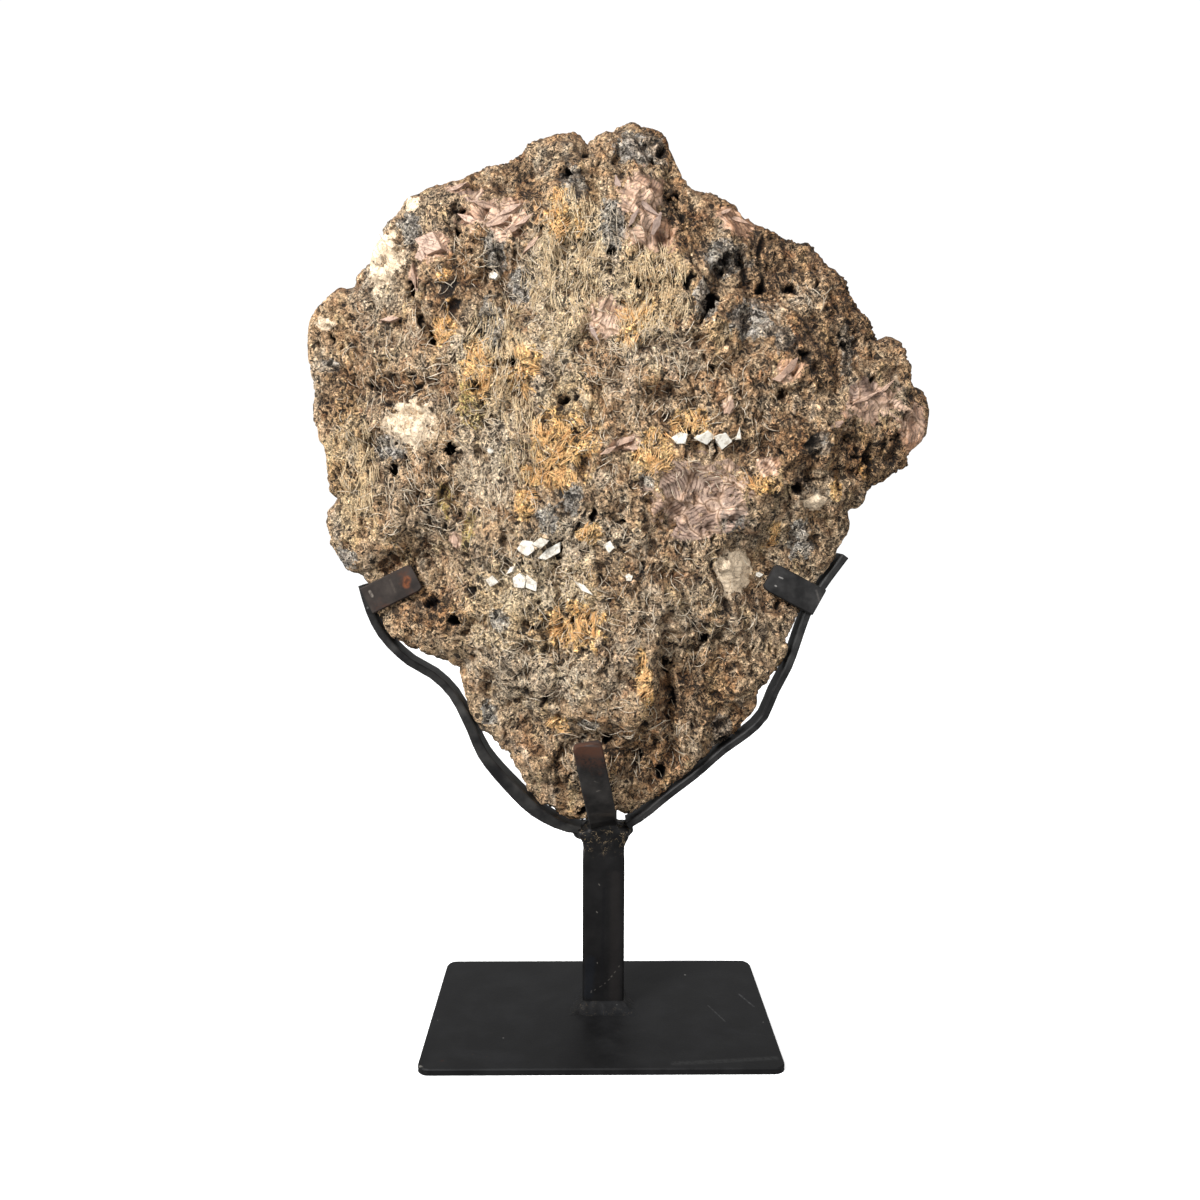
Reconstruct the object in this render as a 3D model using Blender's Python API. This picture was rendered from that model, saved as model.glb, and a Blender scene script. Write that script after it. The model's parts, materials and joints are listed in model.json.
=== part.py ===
"""A rough-backed agate slab held upright in a welded iron cradle on a flat base plate.

All sizes below are in millimetres, and MM turns them into metres. X runs to the viewer's right, Y runs
away from the viewer and Z runs up. The origin is the middle of the plate's underside.
"""
import math
from dataclasses import dataclass

import bmesh
import bpy
import numpy as np
from mathutils import Vector, noise
from mathutils.geometry import delaunay_2d_cdt

MM = 0.001

# Stock that the stand is made from
PLATE_WIDTH = 152.4
PLATE_DEPTH = 101.6
PLATE_THICK = 2.7
PLATE_CORNER = 5.0
PLATE_EDGE = 0.5
POST_SIDE = 19.05
POST_CORNER = 1.6
BAR_WIDTH = 12.7
BAR_THICK = 3.2
BAR_EDGE = 0.6
GAP = 0.3

# Post and its two welds
POST_X = 1.4
POST_Y = 9.2
POST_TOP = 69.0
HEAD_TOP = 87.2
BASE_WELD_LEG = 4.8
BASE_WELD_HEIGHT = 4.2
WELD_RIPPLE = 0.35
WELD_SWELL = 0.09
HEAD_RIPPLE = 0.035
HEAD_CORNER = 2.4

# Cradle: the arms stand on edge and are as deep as the bar is wide
ARM_FRONT = POST_Y - BAR_WIDTH / 2
ARM_BACK = POST_Y + BAR_WIDTH / 2
ARM_STEPS = 26

# Stone
STONE_BACK = ARM_BACK - 0.3
RIM_THICK = 12.0
DOME = 19.0
DOME_REACH = 22.0
RIM_WIDEST = 9.0
FRONT_RING = 0.985
BACK_RING = 0.992
RIM_STEP = 5.4
RIM_JAG = 1.1
LATTICE = 4.6
PIT_SPACING = 4.0
SEAT_GAP = 0.5
BROAD_RELIEF = 5.0
LUMPY_RELIEF = 7.5
FINE_RELIEF = 1.6
PORE_DEPTH = 7.0
PORE_RARITY = 0.22
CLAW_MARGIN = 3.5
CLAW_CLEAR = 0.8
CLAW_BLEND = 0.9
STONE_MIDDLE = (0.0, 245.0)
SEAT_PUSH = 0.8
ARM_TOUCH = 8.0
LATTICE_STIR = 0.9
POINT_SPACING = 2.0
LATTICE_ROOM = 0.62
RIM_ROOM = 0.5
RIM_CALM = 10.0
CALMEST = 0.25
RELIEF_LIFT = 2.0
THINNEST = 10.5
THINNEST_BREAK = 11.0
BULGE = 1.6

# The stone's outline in its own plane, clockwise from the tip of the left shoulder
STONE_OUTLINE = (
    (-129, 306), (-128, 313), (-123, 319), (-115, 326), (-108, 328), (-108, 332), (-100, 339), (-97, 344),
    (-92, 354), (-87, 360), (-84, 365), (-78, 367), (-66, 372), (-51, 378), (-42, 380), (-31, 388),
    (-22, 392), (-10, 392), (-7, 387), (-4, 390), (3, 394), (13, 397), (24, 395), (27, 388),
    (32, 376), (37, 371), (46, 367), (56, 364), (61, 359), (67, 354), (76, 350), (85, 349),
    (93, 345), (98, 339), (105, 332), (112, 324), (113, 319), (118, 315), (121, 305), (126, 307),
    (132, 305), (134, 297), (137, 289), (144, 280), (145, 272), (143, 265), (135, 256), (137, 252),
    (127, 247), (120, 243), (115, 233), (109, 231), (111, 222), (106, 212), (98, 199), (90, 186),
    (83, 173), (84, 169), (79, 160), (72, 151), (70, 142), (64, 132), (52, 124), (45, 118),
    (36, 109), (23, 98), (18, 97), (12, 92), (7, 93), (-2, 90), (-13, 89), (-20, 93),
    (-34, 104), (-37, 112), (-40, 121), (-50, 128), (-57, 135), (-62, 144), (-62, 161), (-73, 165),
    (-83, 169), (-92, 174), (-100, 183), (-105, 196), (-106, 203), (-115, 205), (-120, 215), (-121, 229),
    (-117, 236), (-121, 240), (-123, 256), (-127, 273), (-126, 286), (-128, 293),
)

# Outer edge of each arm, from its free end down to the head of the post
LEFT_ARM_EDGE = (
    (-108, 197), (-105, 186), (-101, 177), (-95, 169), (-86, 161), (-77, 156), (-68, 147), (-61, 133),
    (-55, 119), (-44, 105), (-32, 93), (-19, 86), (-9.6, 84),
)
RIGHT_ARM_EDGE = (
    (110, 210), (100, 196), (94, 185), (90, 173), (86, 161), (80, 149), (75, 137), (67, 129),
    (56, 121), (45, 111), (31, 100), (21, 91.5), (13, 86.5),
)
# How thick each arm is at fractions of its length: the left one was hammered thicker near the post
LEFT_ARM_THICK = ((0.0, 3.2), (0.45, 3.6), (0.62, 5.0), (0.8, 6.0), (0.9, 4.9), (1.0, 3.3))
RIGHT_ARM_THICK = ((0.0, BAR_THICK), (1.0, BAR_THICK))

BLACK_IRON = (0.022, 0.021, 0.021, 1.0)
WELD_IRON = (0.035, 0.031, 0.028, 1.0)
ROUGH_AGATE = (0.27, 0.20, 0.14, 1.0)


@dataclass(frozen=True)
class Grain:
    """Natural unevenness with bumps of one size in millimetres; the seed picks which bumps."""
    size: float
    seed: float

    def at(self, x, y, z):
        """Smooth noise between about -1 and 1 at a place."""
        size, seed = self.size, self.seed
        return noise.noise(Vector((x / size + seed, y / size - seed, z / size + 2.0 * seed)))


RIM_TEETH = Grain(3.0, 5.0)
RIM_WAVES = Grain(9.0, 2.0)
RIM_BULGE = Grain(7.0, 51.0)
LATTICE_EAST = Grain(4.0, 11.0)
LATTICE_NORTH = Grain(4.0, 17.0)
BROAD_LUMPS = Grain(26.0, 21.0)
MIDDLING_LUMPS = Grain(11.0, 31.0)
FINE_LUMPS = Grain(5.0, 41.0)
PORES = Grain(3.1, 61.0)
FOOT_SWELL = Grain(4.0, 3.0)
FOOT_LIFT = Grain(5.0, 7.0)
HEAD_SWELL = Grain(4.5, 1.0)


@dataclass(frozen=True)
class Lump:
    """A rounded rise of the rough face, or a hollow where the height is negative."""
    x: float
    z: float
    reach_x: float
    reach_z: float
    height: float


@dataclass(frozen=True)
class Facet:
    """A flat broken plane: thickness is at most edge at (x, z), and grows by slope along (go_x, go_z)."""
    x: float
    z: float
    go_x: float
    go_z: float
    edge: float
    slope: float


@dataclass(frozen=True)
class Seam:
    """A ridge, or a crack where the height is negative, along a line of points."""
    points: tuple
    half_width: float
    height: float


@dataclass(frozen=True)
class Pit:
    """A pore deep enough to be seen from a step away."""
    x: float
    z: float
    radius: float
    depth: float


FACETS = (
    Facet(-122, 245, 0.98, -0.20, 11.5, 0.42),
    Facet(-80, 160, 0.35, 0.94, 12.0, 0.75),
    Facet(78, 160, -0.86, 0.51, 12.5, 0.30),
    Facet(66, 356, -0.62, -0.78, 12.5, 0.42),
    Facet(139, 280, -1.0, 0.0, 12.0, 0.34),
    Facet(-92, 354, 0.80, -0.60, 13.0, 0.60),
    Facet(-5, 392, 0.0, -1.0, 12.5, 0.75),
)

LUMPS = (
    Lump(-8, 148, 42, 46, 6.0),
    Lump(-14, 250, 62, 52, 4.0),
    Lump(-93, 283, 19, 8, -7.0),
    Lump(-100, 268, 14, 9, 2.5),
    Lump(-83, 268, 15, 12, 4.0),
    Lump(-93, 336, 9, 17, 3.0),
    Lump(55, 203, 13, 13, 4.0),
    Lump(15, 354, 15, 20, 2.5),
    Lump(41, 235, 22, 17, -2.5),
    Lump(28, 366, 8, 13, -4.0),
    Lump(-60, 351, 7, 12, -6.5),
    Lump(-71, 339, 10, 9, 3.0),
    Lump(-48, 357, 14, 8, 3.0),
    Lump(60, 136, 10, 11, -6.0),
    Lump(-10, 104, 9, 9, -4.0),
    Lump(82, 330, 16, 12, -3.5),
    Lump(112, 277, 15, 11, 3.0),
    Lump(131, 262, 9, 8, 2.5),
    Lump(126, 292, 7, 6, -2.5),
    Lump(-45, 290, 15, 26, 2.5),
    Lump(-60, 229, 11, 14, -3.0),
    Lump(20, 290, 24, 14, 2.0),
    Lump(-72, 186, 12, 9, -3.0),
    Lump(60, 180, 14, 12, 2.5),
    Lump(-30, 118, 12, 13, 3.0),
    Lump(-4, 114, 17, 17, 5.0),
    Lump(5, 172, 22, 14, 4.0),
    Lump(-42, 176, 16, 20, 4.0),
    Lump(-108, 318, 12, 10, 3.0),
    Lump(-40, 325, 20, 16, -3.0),
    Lump(88, 262, 18, 14, 3.5),
    Lump(74, 312, 14, 12, 3.5),
    Lump(48, 306, 12, 14, 3.5),
)

SEAMS = (
    Seam(((26, 196), (24, 172), (19, 150), (10, 128), (-1, 112)), 7.0, 4.5),
    Seam(((28, 166), (29, 144), (32, 122)), 4.5, -6.0),
    Seam(((48, 327), (45, 318), (41, 310)), 3.4, -7.5),
    Seam(((59, 339), (54, 334), (49, 331)), 3.0, -6.0),
    Seam(((-82, 323), (-77, 317), (-72, 303)), 3.4, -6.0),
    Seam(((-112, 296), (-100, 285), (-89, 274)), 4.5, 4.0),
    Seam(((-89, 274), (-79, 256), (-70, 234)), 6.0, 3.0),
    Seam(((-70, 348), (-52, 346), (-34, 341)), 4.5, 3.0),
    Seam(((-40, 262), (-18, 256), (2, 258)), 6.0, 2.5),
    Seam(((-58, 200), (-40, 212), (-20, 216)), 5.0, 2.5),
    Seam(((-4, 340), (-6, 322), (-14, 300)), 5.0, 2.0),
    Seam(((62, 262), (78, 246), (90, 226)), 6.0, 2.0),
)

PITS = (
    Pit(-60, 229, 3.6, 5.0), Pit(-88, 249, 3.2, 4.0), Pit(-65, 258, 3.0, 3.5), Pit(21, 378, 3.8, 5.0),
    Pit(28, 363, 3.6, 4.5), Pit(-112, 306, 3.2, 4.0), Pit(-61, 332, 3.8, 4.5), Pit(-38, 293, 3.2, 4.0),
    Pit(91, 291, 3.2, 3.5), Pit(76, 281, 3.2, 3.5), Pit(64, 202, 3.4, 5.0), Pit(53, 214, 3.2, 4.0),
    Pit(52, 191, 4.6, 4.5), Pit(-18, 140, 3.8, 5.0), Pit(44, 176, 3.0, 3.5), Pit(-12, 104, 4.6, 4.5),
    Pit(-76, 188, 3.4, 4.5), Pit(59, 137, 4.8, 4.5), Pit(14, 112, 4.2, 4.5), Pit(88, 247, 3.2, 3.5),
    Pit(-2, 283, 3.0, 3.0), Pit(-30, 180, 3.2, 3.5), Pit(8, 226, 3.0, 3.5), Pit(105, 262, 3.0, 3.0),
)


def clear_scene():
    """Remove every object, so that the part starts from nothing."""
    for item in list(bpy.data.objects):
        bpy.data.objects.remove(item, do_unlink=True)


def make_material(name, color, roughness, metallic):
    """Make a plain Principled material."""
    material = bpy.data.materials.new(name)
    material.use_nodes = True
    shader = material.node_tree.nodes["Principled BSDF"]
    shader.inputs["Base Color"].default_value = color
    shader.inputs["Roughness"].default_value = roughness
    shader.inputs["Metallic"].default_value = metallic
    return material


def add_object(name, shape, material, sharp_angle=35.0):
    """Turn a bmesh in millimetres into a named object in metres, with its faces pointing out."""
    bmesh.ops.recalc_face_normals(shape, faces=shape.faces)
    bmesh.ops.scale(shape, vec=(MM, MM, MM), verts=shape.verts)
    mesh = bpy.data.meshes.new(name)
    shape.to_mesh(mesh)
    shape.free()
    mesh.materials.append(material)
    mesh.shade_smooth()
    mesh.set_sharp_from_angle(angle=math.radians(sharp_angle))
    item = bpy.data.objects.new(name, mesh)
    bpy.context.collection.objects.link(item)
    return item


def rounded_rectangle(width, depth, corner, steps):
    """Corner-rounded rectangle about the origin, counter-clockwise, with steps + 1 points a corner."""
    points = []
    for turn, (side_x, side_y) in enumerate(((1, 1), (-1, 1), (-1, -1), (1, -1))):
        for step in range(steps + 1):
            angle = math.radians(90.0 * (turn + step / steps))
            points.append((
                side_x * (width / 2 - corner) + corner * math.cos(angle),
                side_y * (depth / 2 - corner) + corner * math.sin(angle),
            ))
    return points


def skin_rings(rings, closed_ends=True):
    """Join rings of equal length with quads, and cap the first and the last ring."""
    shape = bmesh.new()
    rows = [[shape.verts.new(point) for point in ring] for ring in rings]
    count = len(rows[0])
    for lower, upper in zip(rows, rows[1:]):
        for i in range(count):
            j = (i + 1) % count
            shape.faces.new((lower[i], lower[j], upper[j], upper[i]))
    if closed_ends:
        shape.faces.new(list(reversed(rows[0])))
        shape.faces.new(rows[-1])
    return shape


def build_base_plate(material):
    """Flat plate with rounded corners and a broken upper edge; its underside is the rest face."""
    outline = rounded_rectangle(PLATE_WIDTH, PLATE_DEPTH, PLATE_CORNER, 5)
    inner = rounded_rectangle(
        PLATE_WIDTH - 2 * PLATE_EDGE, PLATE_DEPTH - 2 * PLATE_EDGE, PLATE_CORNER - PLATE_EDGE, 5)
    rings = [
        [(x, y, 0.0) for x, y in outline],
        [(x, y, PLATE_THICK - PLATE_EDGE) for x, y in outline],
        [(x, y, PLATE_THICK) for x, y in inner],
    ]
    return add_object("base_plate", skin_rings(rings), material)


def build_post(material):
    """Square upright bar with slightly rounded corners."""
    outline = rounded_rectangle(POST_SIDE, POST_SIDE, POST_CORNER, 3)
    rings = [
        [(POST_X + x, POST_Y + y, z) for x, y in outline]
        for z in (PLATE_THICK + GAP, POST_TOP)
    ]
    return add_object("post", skin_rings(rings), material)


def build_base_weld(material):
    """Bead round the foot of the post, a lumpy fillet lying in the corner between post and plate."""
    foot = PLATE_THICK + GAP
    profile = (
        (0.0, 0.0), (0.0, 1.0), (0.22, 0.86), (0.45, 0.52), (0.75, 0.24), (1.0, 0.0),
    )
    rings = []
    for out, up in profile:
        side = POST_SIDE + 2 * (GAP + out * BASE_WELD_LEG)
        corner = POST_CORNER + GAP + out * BASE_WELD_LEG
        ring = []
        for x, y in rounded_rectangle(side, side, corner, 4):
            swell = 1.0 + out * WELD_SWELL * FOOT_SWELL.at(x, y, 0.0)
            lift = BASE_WELD_HEIGHT * up * (1.0 + WELD_RIPPLE * FOOT_LIFT.at(x, y, BASE_WELD_HEIGHT))
            ring.append((POST_X + x * swell, POST_Y + y * swell, foot + lift))
        rings.append(ring)
    shape = bmesh.new()
    rows = [[shape.verts.new(point) for point in ring] for ring in rings]
    count = len(rows[0])
    for row, following in zip(rows, rows[1:] + rows[:1]):
        for i in range(count):
            j = (i + 1) % count
            shape.faces.new((row[i], row[j], following[j], following[i]))
    return add_object("base_weld", shape, material)


def build_head_weld(material):
    """Weld that swells out from the top of the post to take the arms and the centre claws."""
    levels = (
        (POST_TOP + GAP, -9.4, 9.4, 9.4), (71.5, -8.7, 9.3, 9.2), (77.5, -8.6, 9.2, 9.2),
        (80.5, -9.6, 9.9, 9.5), (83.5, -10.6, 11.0, 9.8), (86.0, -10.6, 11.2, 9.8),
        (HEAD_TOP, -8.8, 9.4, 8.6),
    )
    rings = []
    for height, left, right, half_depth in levels:
        middle = (left + right) / 2
        ring = []
        for x, y in rounded_rectangle(right - left, 2 * half_depth, HEAD_CORNER, 3):
            push = HEAD_RIPPLE * HEAD_SWELL.at(x, y, height)
            ring.append((
                POST_X + middle + x * (1.0 + push),
                POST_Y + y * (1.0 + push),
                height,
            ))
        rings.append(ring)
    return add_object("head_weld", skin_rings(rings), material, 50.0)


def smooth_curve(points, steps):
    """Evenly stepped Catmull-Rom curve through the points, as an array of steps + 1 rows."""
    points = np.array(points, dtype=float)
    padded = np.vstack((2 * points[0] - points[1], points, 2 * points[-1] - points[-2]))
    dense = []
    for i in range(1, len(padded) - 2):
        before, start, end, after = padded[i - 1:i + 3]
        for t in np.linspace(0.0, 1.0, 12, endpoint=False):
            dense.append(0.5 * (
                2 * start + (end - before) * t
                + (2 * before - 5 * start + 4 * end - after) * t ** 2
                + (3 * start - before - 3 * end + after) * t ** 3
            ))
    dense.append(points[-1])
    dense = np.array(dense)
    lengths = np.concatenate(((0.0,), np.cumsum(np.linalg.norm(np.diff(dense, axis=0), axis=1))))
    wanted = np.linspace(0.0, lengths[-1], steps + 1)
    return np.column_stack([np.interp(wanted, lengths, dense[:, axis]) for axis in range(dense.shape[1])])


def arm_edges(edge_points, thick_profile, inward_sign):
    """Outer and inner edge lines of an arm, in the plane of the cradle."""
    outer = smooth_curve(edge_points, ARM_STEPS)
    along = np.gradient(outer, axis=0)
    along /= np.linalg.norm(along, axis=1)[:, None]
    inward = np.column_stack((-along[:, 1], along[:, 0])) * inward_sign
    fractions, thicknesses = zip(*thick_profile)
    thick = np.interp(np.linspace(0.0, 1.0, ARM_STEPS + 1), fractions, thicknesses)
    return outer, outer + inward * thick[:, None]


def build_arm(name, outer, inner, material):
    """Flat bar on edge between its outer and inner edge lines, with its long edges broken."""
    rings = []
    for out, into in zip(outer, inner):
        thick = np.linalg.norm(into - out)
        bite = min(BAR_EDGE, thick / 4) / thick
        ring = []
        for share, depth in (
            (bite, ARM_FRONT), (1 - bite, ARM_FRONT), (1, ARM_FRONT + BAR_EDGE), (1, ARM_BACK - BAR_EDGE),
            (1 - bite, ARM_BACK), (bite, ARM_BACK), (0, ARM_BACK - BAR_EDGE), (0, ARM_FRONT + BAR_EDGE),
        ):
            x, z = out + (into - out) * share
            ring.append((x, depth, z))
        rings.append(ring)
    return add_object(name, skin_rings(rings), material)


@dataclass(frozen=True)
class Claw:
    """A short flat bar: its middle line from the fixed end to the free end, and its side direction."""
    name: str
    path: tuple
    side: tuple

    def middle_line(self, steps):
        """Points along the middle of the bar."""
        return smooth_curve(self.path, steps)


LEFT_SLOPE = math.radians(26.4)
RIGHT_SLOPE = math.radians(-28.0)
CENTRE_LEAN = math.radians(-10.5)
CLAW_FRONT_Y = ARM_FRONT - GAP - BAR_THICK / 2
CLAW_REAR_Y = ARM_BACK + GAP + BAR_THICK / 2
LEFT_CLAW_LINE = ((-103.6, 190.7), (-92.5, 196.2), (-81.6, 201.6))
RIGHT_CLAW_LINE = ((96.6, 190.4), (85.0, 196.5), (74.2, 202.3))
CENTRE_CLAW_PATH = ((1.3, 1.2, 89.2), (0.2, -6.0, 96.5), (-2.9, -14.6, 113.0), (-6.4, -21.6, 131.8))
CENTRE_REAR_LINE = ((POST_X, HEAD_TOP + GAP), (POST_X, 108.0), (POST_X, 128.0))


def upright(line, depth):
    """A line of (x, z) points, stood at one depth."""
    return tuple((x, depth, z) for x, z in line)


def across(slope):
    """Direction of a claw's side, square to a claw that climbs at this slope."""
    return (-math.sin(slope), 0.0, math.cos(slope))


CLAWS = (
    Claw("left_claw", upright(LEFT_CLAW_LINE, CLAW_FRONT_Y), across(LEFT_SLOPE)),
    Claw("right_claw", upright(RIGHT_CLAW_LINE, CLAW_FRONT_Y), across(RIGHT_SLOPE)),
    Claw("centre_claw", CENTRE_CLAW_PATH, (math.cos(CENTRE_LEAN), 0.0, -math.sin(CENTRE_LEAN))),
    Claw("left_rear_claw", upright(LEFT_CLAW_LINE, CLAW_REAR_Y), across(LEFT_SLOPE)),
    Claw("right_rear_claw", upright(RIGHT_CLAW_LINE, CLAW_REAR_Y), across(RIGHT_SLOPE)),
    Claw("centre_rear_claw", upright(CENTRE_REAR_LINE, CLAW_REAR_Y), (1.0, 0.0, 0.0)),
)
FREE_END_ROUNDING = ((0.0, 1.0), (1.2, 0.985), (2.2, 0.93), (3.0, 0.82))


def build_claw(claw, material):
    """Sweep the bar's section along the claw, and round the corners of its free end."""
    line = claw.middle_line(8)
    side = Vector(claw.side).normalized()
    end = Vector(line[-1])
    along_end = (end - Vector(line[-2])).normalized()
    stations = [(Vector(point), 1.0) for point in line[:-1]]
    reach = FREE_END_ROUNDING[-1][0]
    for step, width_share in FREE_END_ROUNDING:
        stations.append((end + along_end * (step - reach), width_share))
    rings = []
    for index, (point, share) in enumerate(stations):
        before = stations[max(index - 1, 0)][0]
        after = stations[min(index + 1, len(stations) - 1)][0]
        along = (after - before).normalized()
        face = along.cross(side).normalized()
        half_width = BAR_WIDTH / 2 * share
        half_thick = BAR_THICK / 2
        ring = []
        for across, out in (
            (half_width - BAR_EDGE, -half_thick), (half_width, BAR_EDGE - half_thick),
            (half_width, half_thick - BAR_EDGE), (half_width - BAR_EDGE, half_thick),
            (BAR_EDGE - half_width, half_thick), (-half_width, half_thick - BAR_EDGE),
            (-half_width, BAR_EDGE - half_thick), (BAR_EDGE - half_width, -half_thick),
        ):
            ring.append(point + side * across + face * out)
        rings.append(ring)
    return add_object(claw.name, skin_rings(rings), material)


def distance_to_line(points, line):
    """Distance from each point to a line of points, and the nearest place on that line."""
    line = np.array(line, dtype=float)
    start, run = line[:-1], np.diff(line, axis=0)
    offset = points[:, None, :] - start[None, :, :]
    share = np.clip((offset * run).sum(axis=2) / (run ** 2).sum(axis=1), 0.0, 1.0)
    nearest = start[None, :, :] + share[:, :, None] * run[None, :, :]
    gaps = np.linalg.norm(points[:, None, :] - nearest, axis=2)
    best = gaps.argmin(axis=1)
    rows = np.arange(len(points))
    return gaps[rows, best], nearest[rows, best], best + share[rows, best]


def stone_outline(arm_inner_lines):
    """The outline stepped evenly, roughened, and seated just inside the arms."""
    corners = np.array(STONE_OUTLINE, dtype=float)
    points = []
    for start, end in zip(corners, np.roll(corners, -1, axis=0)):
        span = end - start
        length = np.linalg.norm(span)
        normal = np.array((-span[1], span[0])) / length
        pieces = max(1, round(length / RIM_STEP))
        for piece in range(pieces):
            spot = start + span * piece / pieces
            jag = RIM_JAG * (RIM_TEETH.at(spot[0], 0.0, spot[1]) + 0.5 * RIM_WAVES.at(spot[0], 4.0, spot[1]))
            points.append(spot + normal * jag)
    points = np.array(points)
    middle = np.array(STONE_MIDDLE)
    for line in arm_inner_lines:
        gap, nearest, _ = distance_to_line(points, line)
        outward = np.linalg.norm(points - middle, axis=1) > np.linalg.norm(nearest - middle, axis=1)
        for i in np.flatnonzero((gap < SEAT_GAP) | (outward & (gap < ARM_TOUCH))):
            inward = (middle - nearest[i]) / np.linalg.norm(middle - nearest[i])
            points[i] = nearest[i] + inward * SEAT_PUSH
    return points


def inside(points, outline):
    """Whether each point lies inside the outline, by counting crossings."""
    result = np.zeros(len(points), dtype=bool)
    for (x1, z1), (x2, z2) in zip(outline, np.roll(outline, -1, axis=0)):
        crosses = (z1 > points[:, 1]) != (z2 > points[:, 1])
        if z1 != z2:
            result ^= crosses & (points[:, 0] < (x2 - x1) * (points[:, 1] - z1) / (z2 - z1) + x1)
    return result


def face_points(front_ring):
    """Places of the rough face's points: pit centres and rims, crack floors, and an even lattice between."""
    placed = []
    for pit in PITS:
        placed.append((pit.x, pit.z))
        for turn in range(6):
            angle = math.radians(60.0 * turn + 17.0)
            placed.append((pit.x + pit.radius * math.cos(angle), pit.z + pit.radius * math.sin(angle)))
    for seam in SEAMS:
        if seam.height < 0.0:
            length = np.linalg.norm(np.diff(np.array(seam.points, dtype=float), axis=0), axis=1).sum()
            placed.extend(map(tuple, smooth_curve(seam.points, max(2, round(length / PIT_SPACING)))))
    kept = []
    for spot in placed:
        if all(math.dist(spot, other) > POINT_SPACING for other in kept):
            kept.append(spot)
    placed = np.array(kept)

    row_height = LATTICE * math.sqrt(3.0) / 2
    lattice = []
    low, high = front_ring.min(axis=0), front_ring.max(axis=0)
    for row in range(int((high[1] - low[1]) / row_height) + 1):
        z = low[1] + row * row_height
        shift = LATTICE / 2 * (row % 2)
        for column in range(int((high[0] - low[0]) / LATTICE) + 1):
            x = low[0] + shift + column * LATTICE
            lattice.append((
                x + LATTICE_STIR * LATTICE_EAST.at(x, 0.0, z),
                z + LATTICE_STIR * LATTICE_NORTH.at(x, 0.0, z),
            ))
    lattice = np.array(lattice)
    apart = np.linalg.norm(lattice[:, None, :] - placed[None, :, :], axis=2).min(axis=1)
    points = np.vstack((placed, lattice[apart > LATTICE_ROOM * LATTICE]))
    closed_ring = np.vstack((front_ring, front_ring[:1]))
    rim_gap, _, _ = distance_to_line(points, closed_ring)
    return points[inside(points, front_ring) & (rim_gap > RIM_ROOM * LATTICE)]


def thickness(points, outline):
    """Thickness of the stone at each place: a low dome cut by broken planes, with its relief on top."""
    closed_outline = np.vstack((outline, outline[:1]))
    rim_gap, _, _ = distance_to_line(points, closed_outline)
    x, z = points[:, 0], points[:, 1]
    thick = RIM_THICK + DOME * (1.0 - np.exp(-rim_gap / DOME_REACH))
    for facet in FACETS:
        plane = facet.edge + facet.slope * ((x - facet.x) * facet.go_x + (z - facet.z) * facet.go_z)
        thick = np.minimum(thick, np.maximum(plane, THINNEST_BREAK))
    for lump in LUMPS:
        reach = ((x - lump.x) / lump.reach_x) ** 2 + ((z - lump.z) / lump.reach_z) ** 2
        thick += lump.height * np.clip(1.0 - reach, 0.0, 1.0) ** 1.5
    for seam in SEAMS:
        gap, _, _ = distance_to_line(points, seam.points)
        thick += seam.height * np.clip(1.0 - gap / seam.half_width, 0.0, 1.0)
    for pit in PITS:
        gap = np.hypot(x - pit.x, z - pit.z)
        thick -= pit.depth * np.clip(1.0 - gap / pit.radius, 0.0, 1.0)
    calm = np.clip(rim_gap / RIM_CALM, CALMEST, 1.0)
    for i, (spot_x, spot_z) in enumerate(points):
        spot = (spot_x, 0.0, spot_z)
        relief = RELIEF_LIFT + BROAD_RELIEF * BROAD_LUMPS.at(*spot) + FINE_RELIEF * FINE_LUMPS.at(*spot)
        relief -= LUMPY_RELIEF * abs(MIDDLING_LUMPS.at(*spot))
        relief -= PORE_DEPTH * max(0.0, PORES.at(*spot) - PORE_RARITY)
        thick[i] += calm[i] * relief
    return np.maximum(thick, THINNEST)


def clear_of_claws(points, depth):
    """Push the rough face back where a front claw crosses it."""
    for claw in CLAWS:
        if "rear" in claw.name:
            continue
        line = claw.middle_line(8)
        flat_line = line[:, (0, 2)]
        gap, _, place = distance_to_line(points, flat_line)
        claw_y = np.interp(place, np.arange(len(line)), line[:, 1])
        rise = np.linalg.norm(np.gradient(flat_line, axis=0), axis=1)
        tilt = np.abs(np.gradient(line[:, 1])) / np.maximum(rise, 0.1)
        half = BAR_THICK / 2 * math.sqrt(1.0 + tilt.max() ** 2)
        beyond = np.maximum(0.0, gap - BAR_WIDTH / 2 - CLAW_MARGIN)
        depth = np.maximum(depth, claw_y + half + CLAW_CLEAR - CLAW_BLEND * beyond)
    return depth


def fill_outline(ring, inner_points):
    """Triangles that fill a ring of points, through the inner points where there are any."""
    count = len(ring)
    edges = [(i, (i + 1) % count) for i in range(count)]
    flat = [Vector(point) for point in np.vstack((ring, inner_points))]
    placed, _, faces, _, _, _ = delaunay_2d_cdt(flat, edges, [list(range(count))], 1, 1e-6)
    return placed, faces


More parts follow.
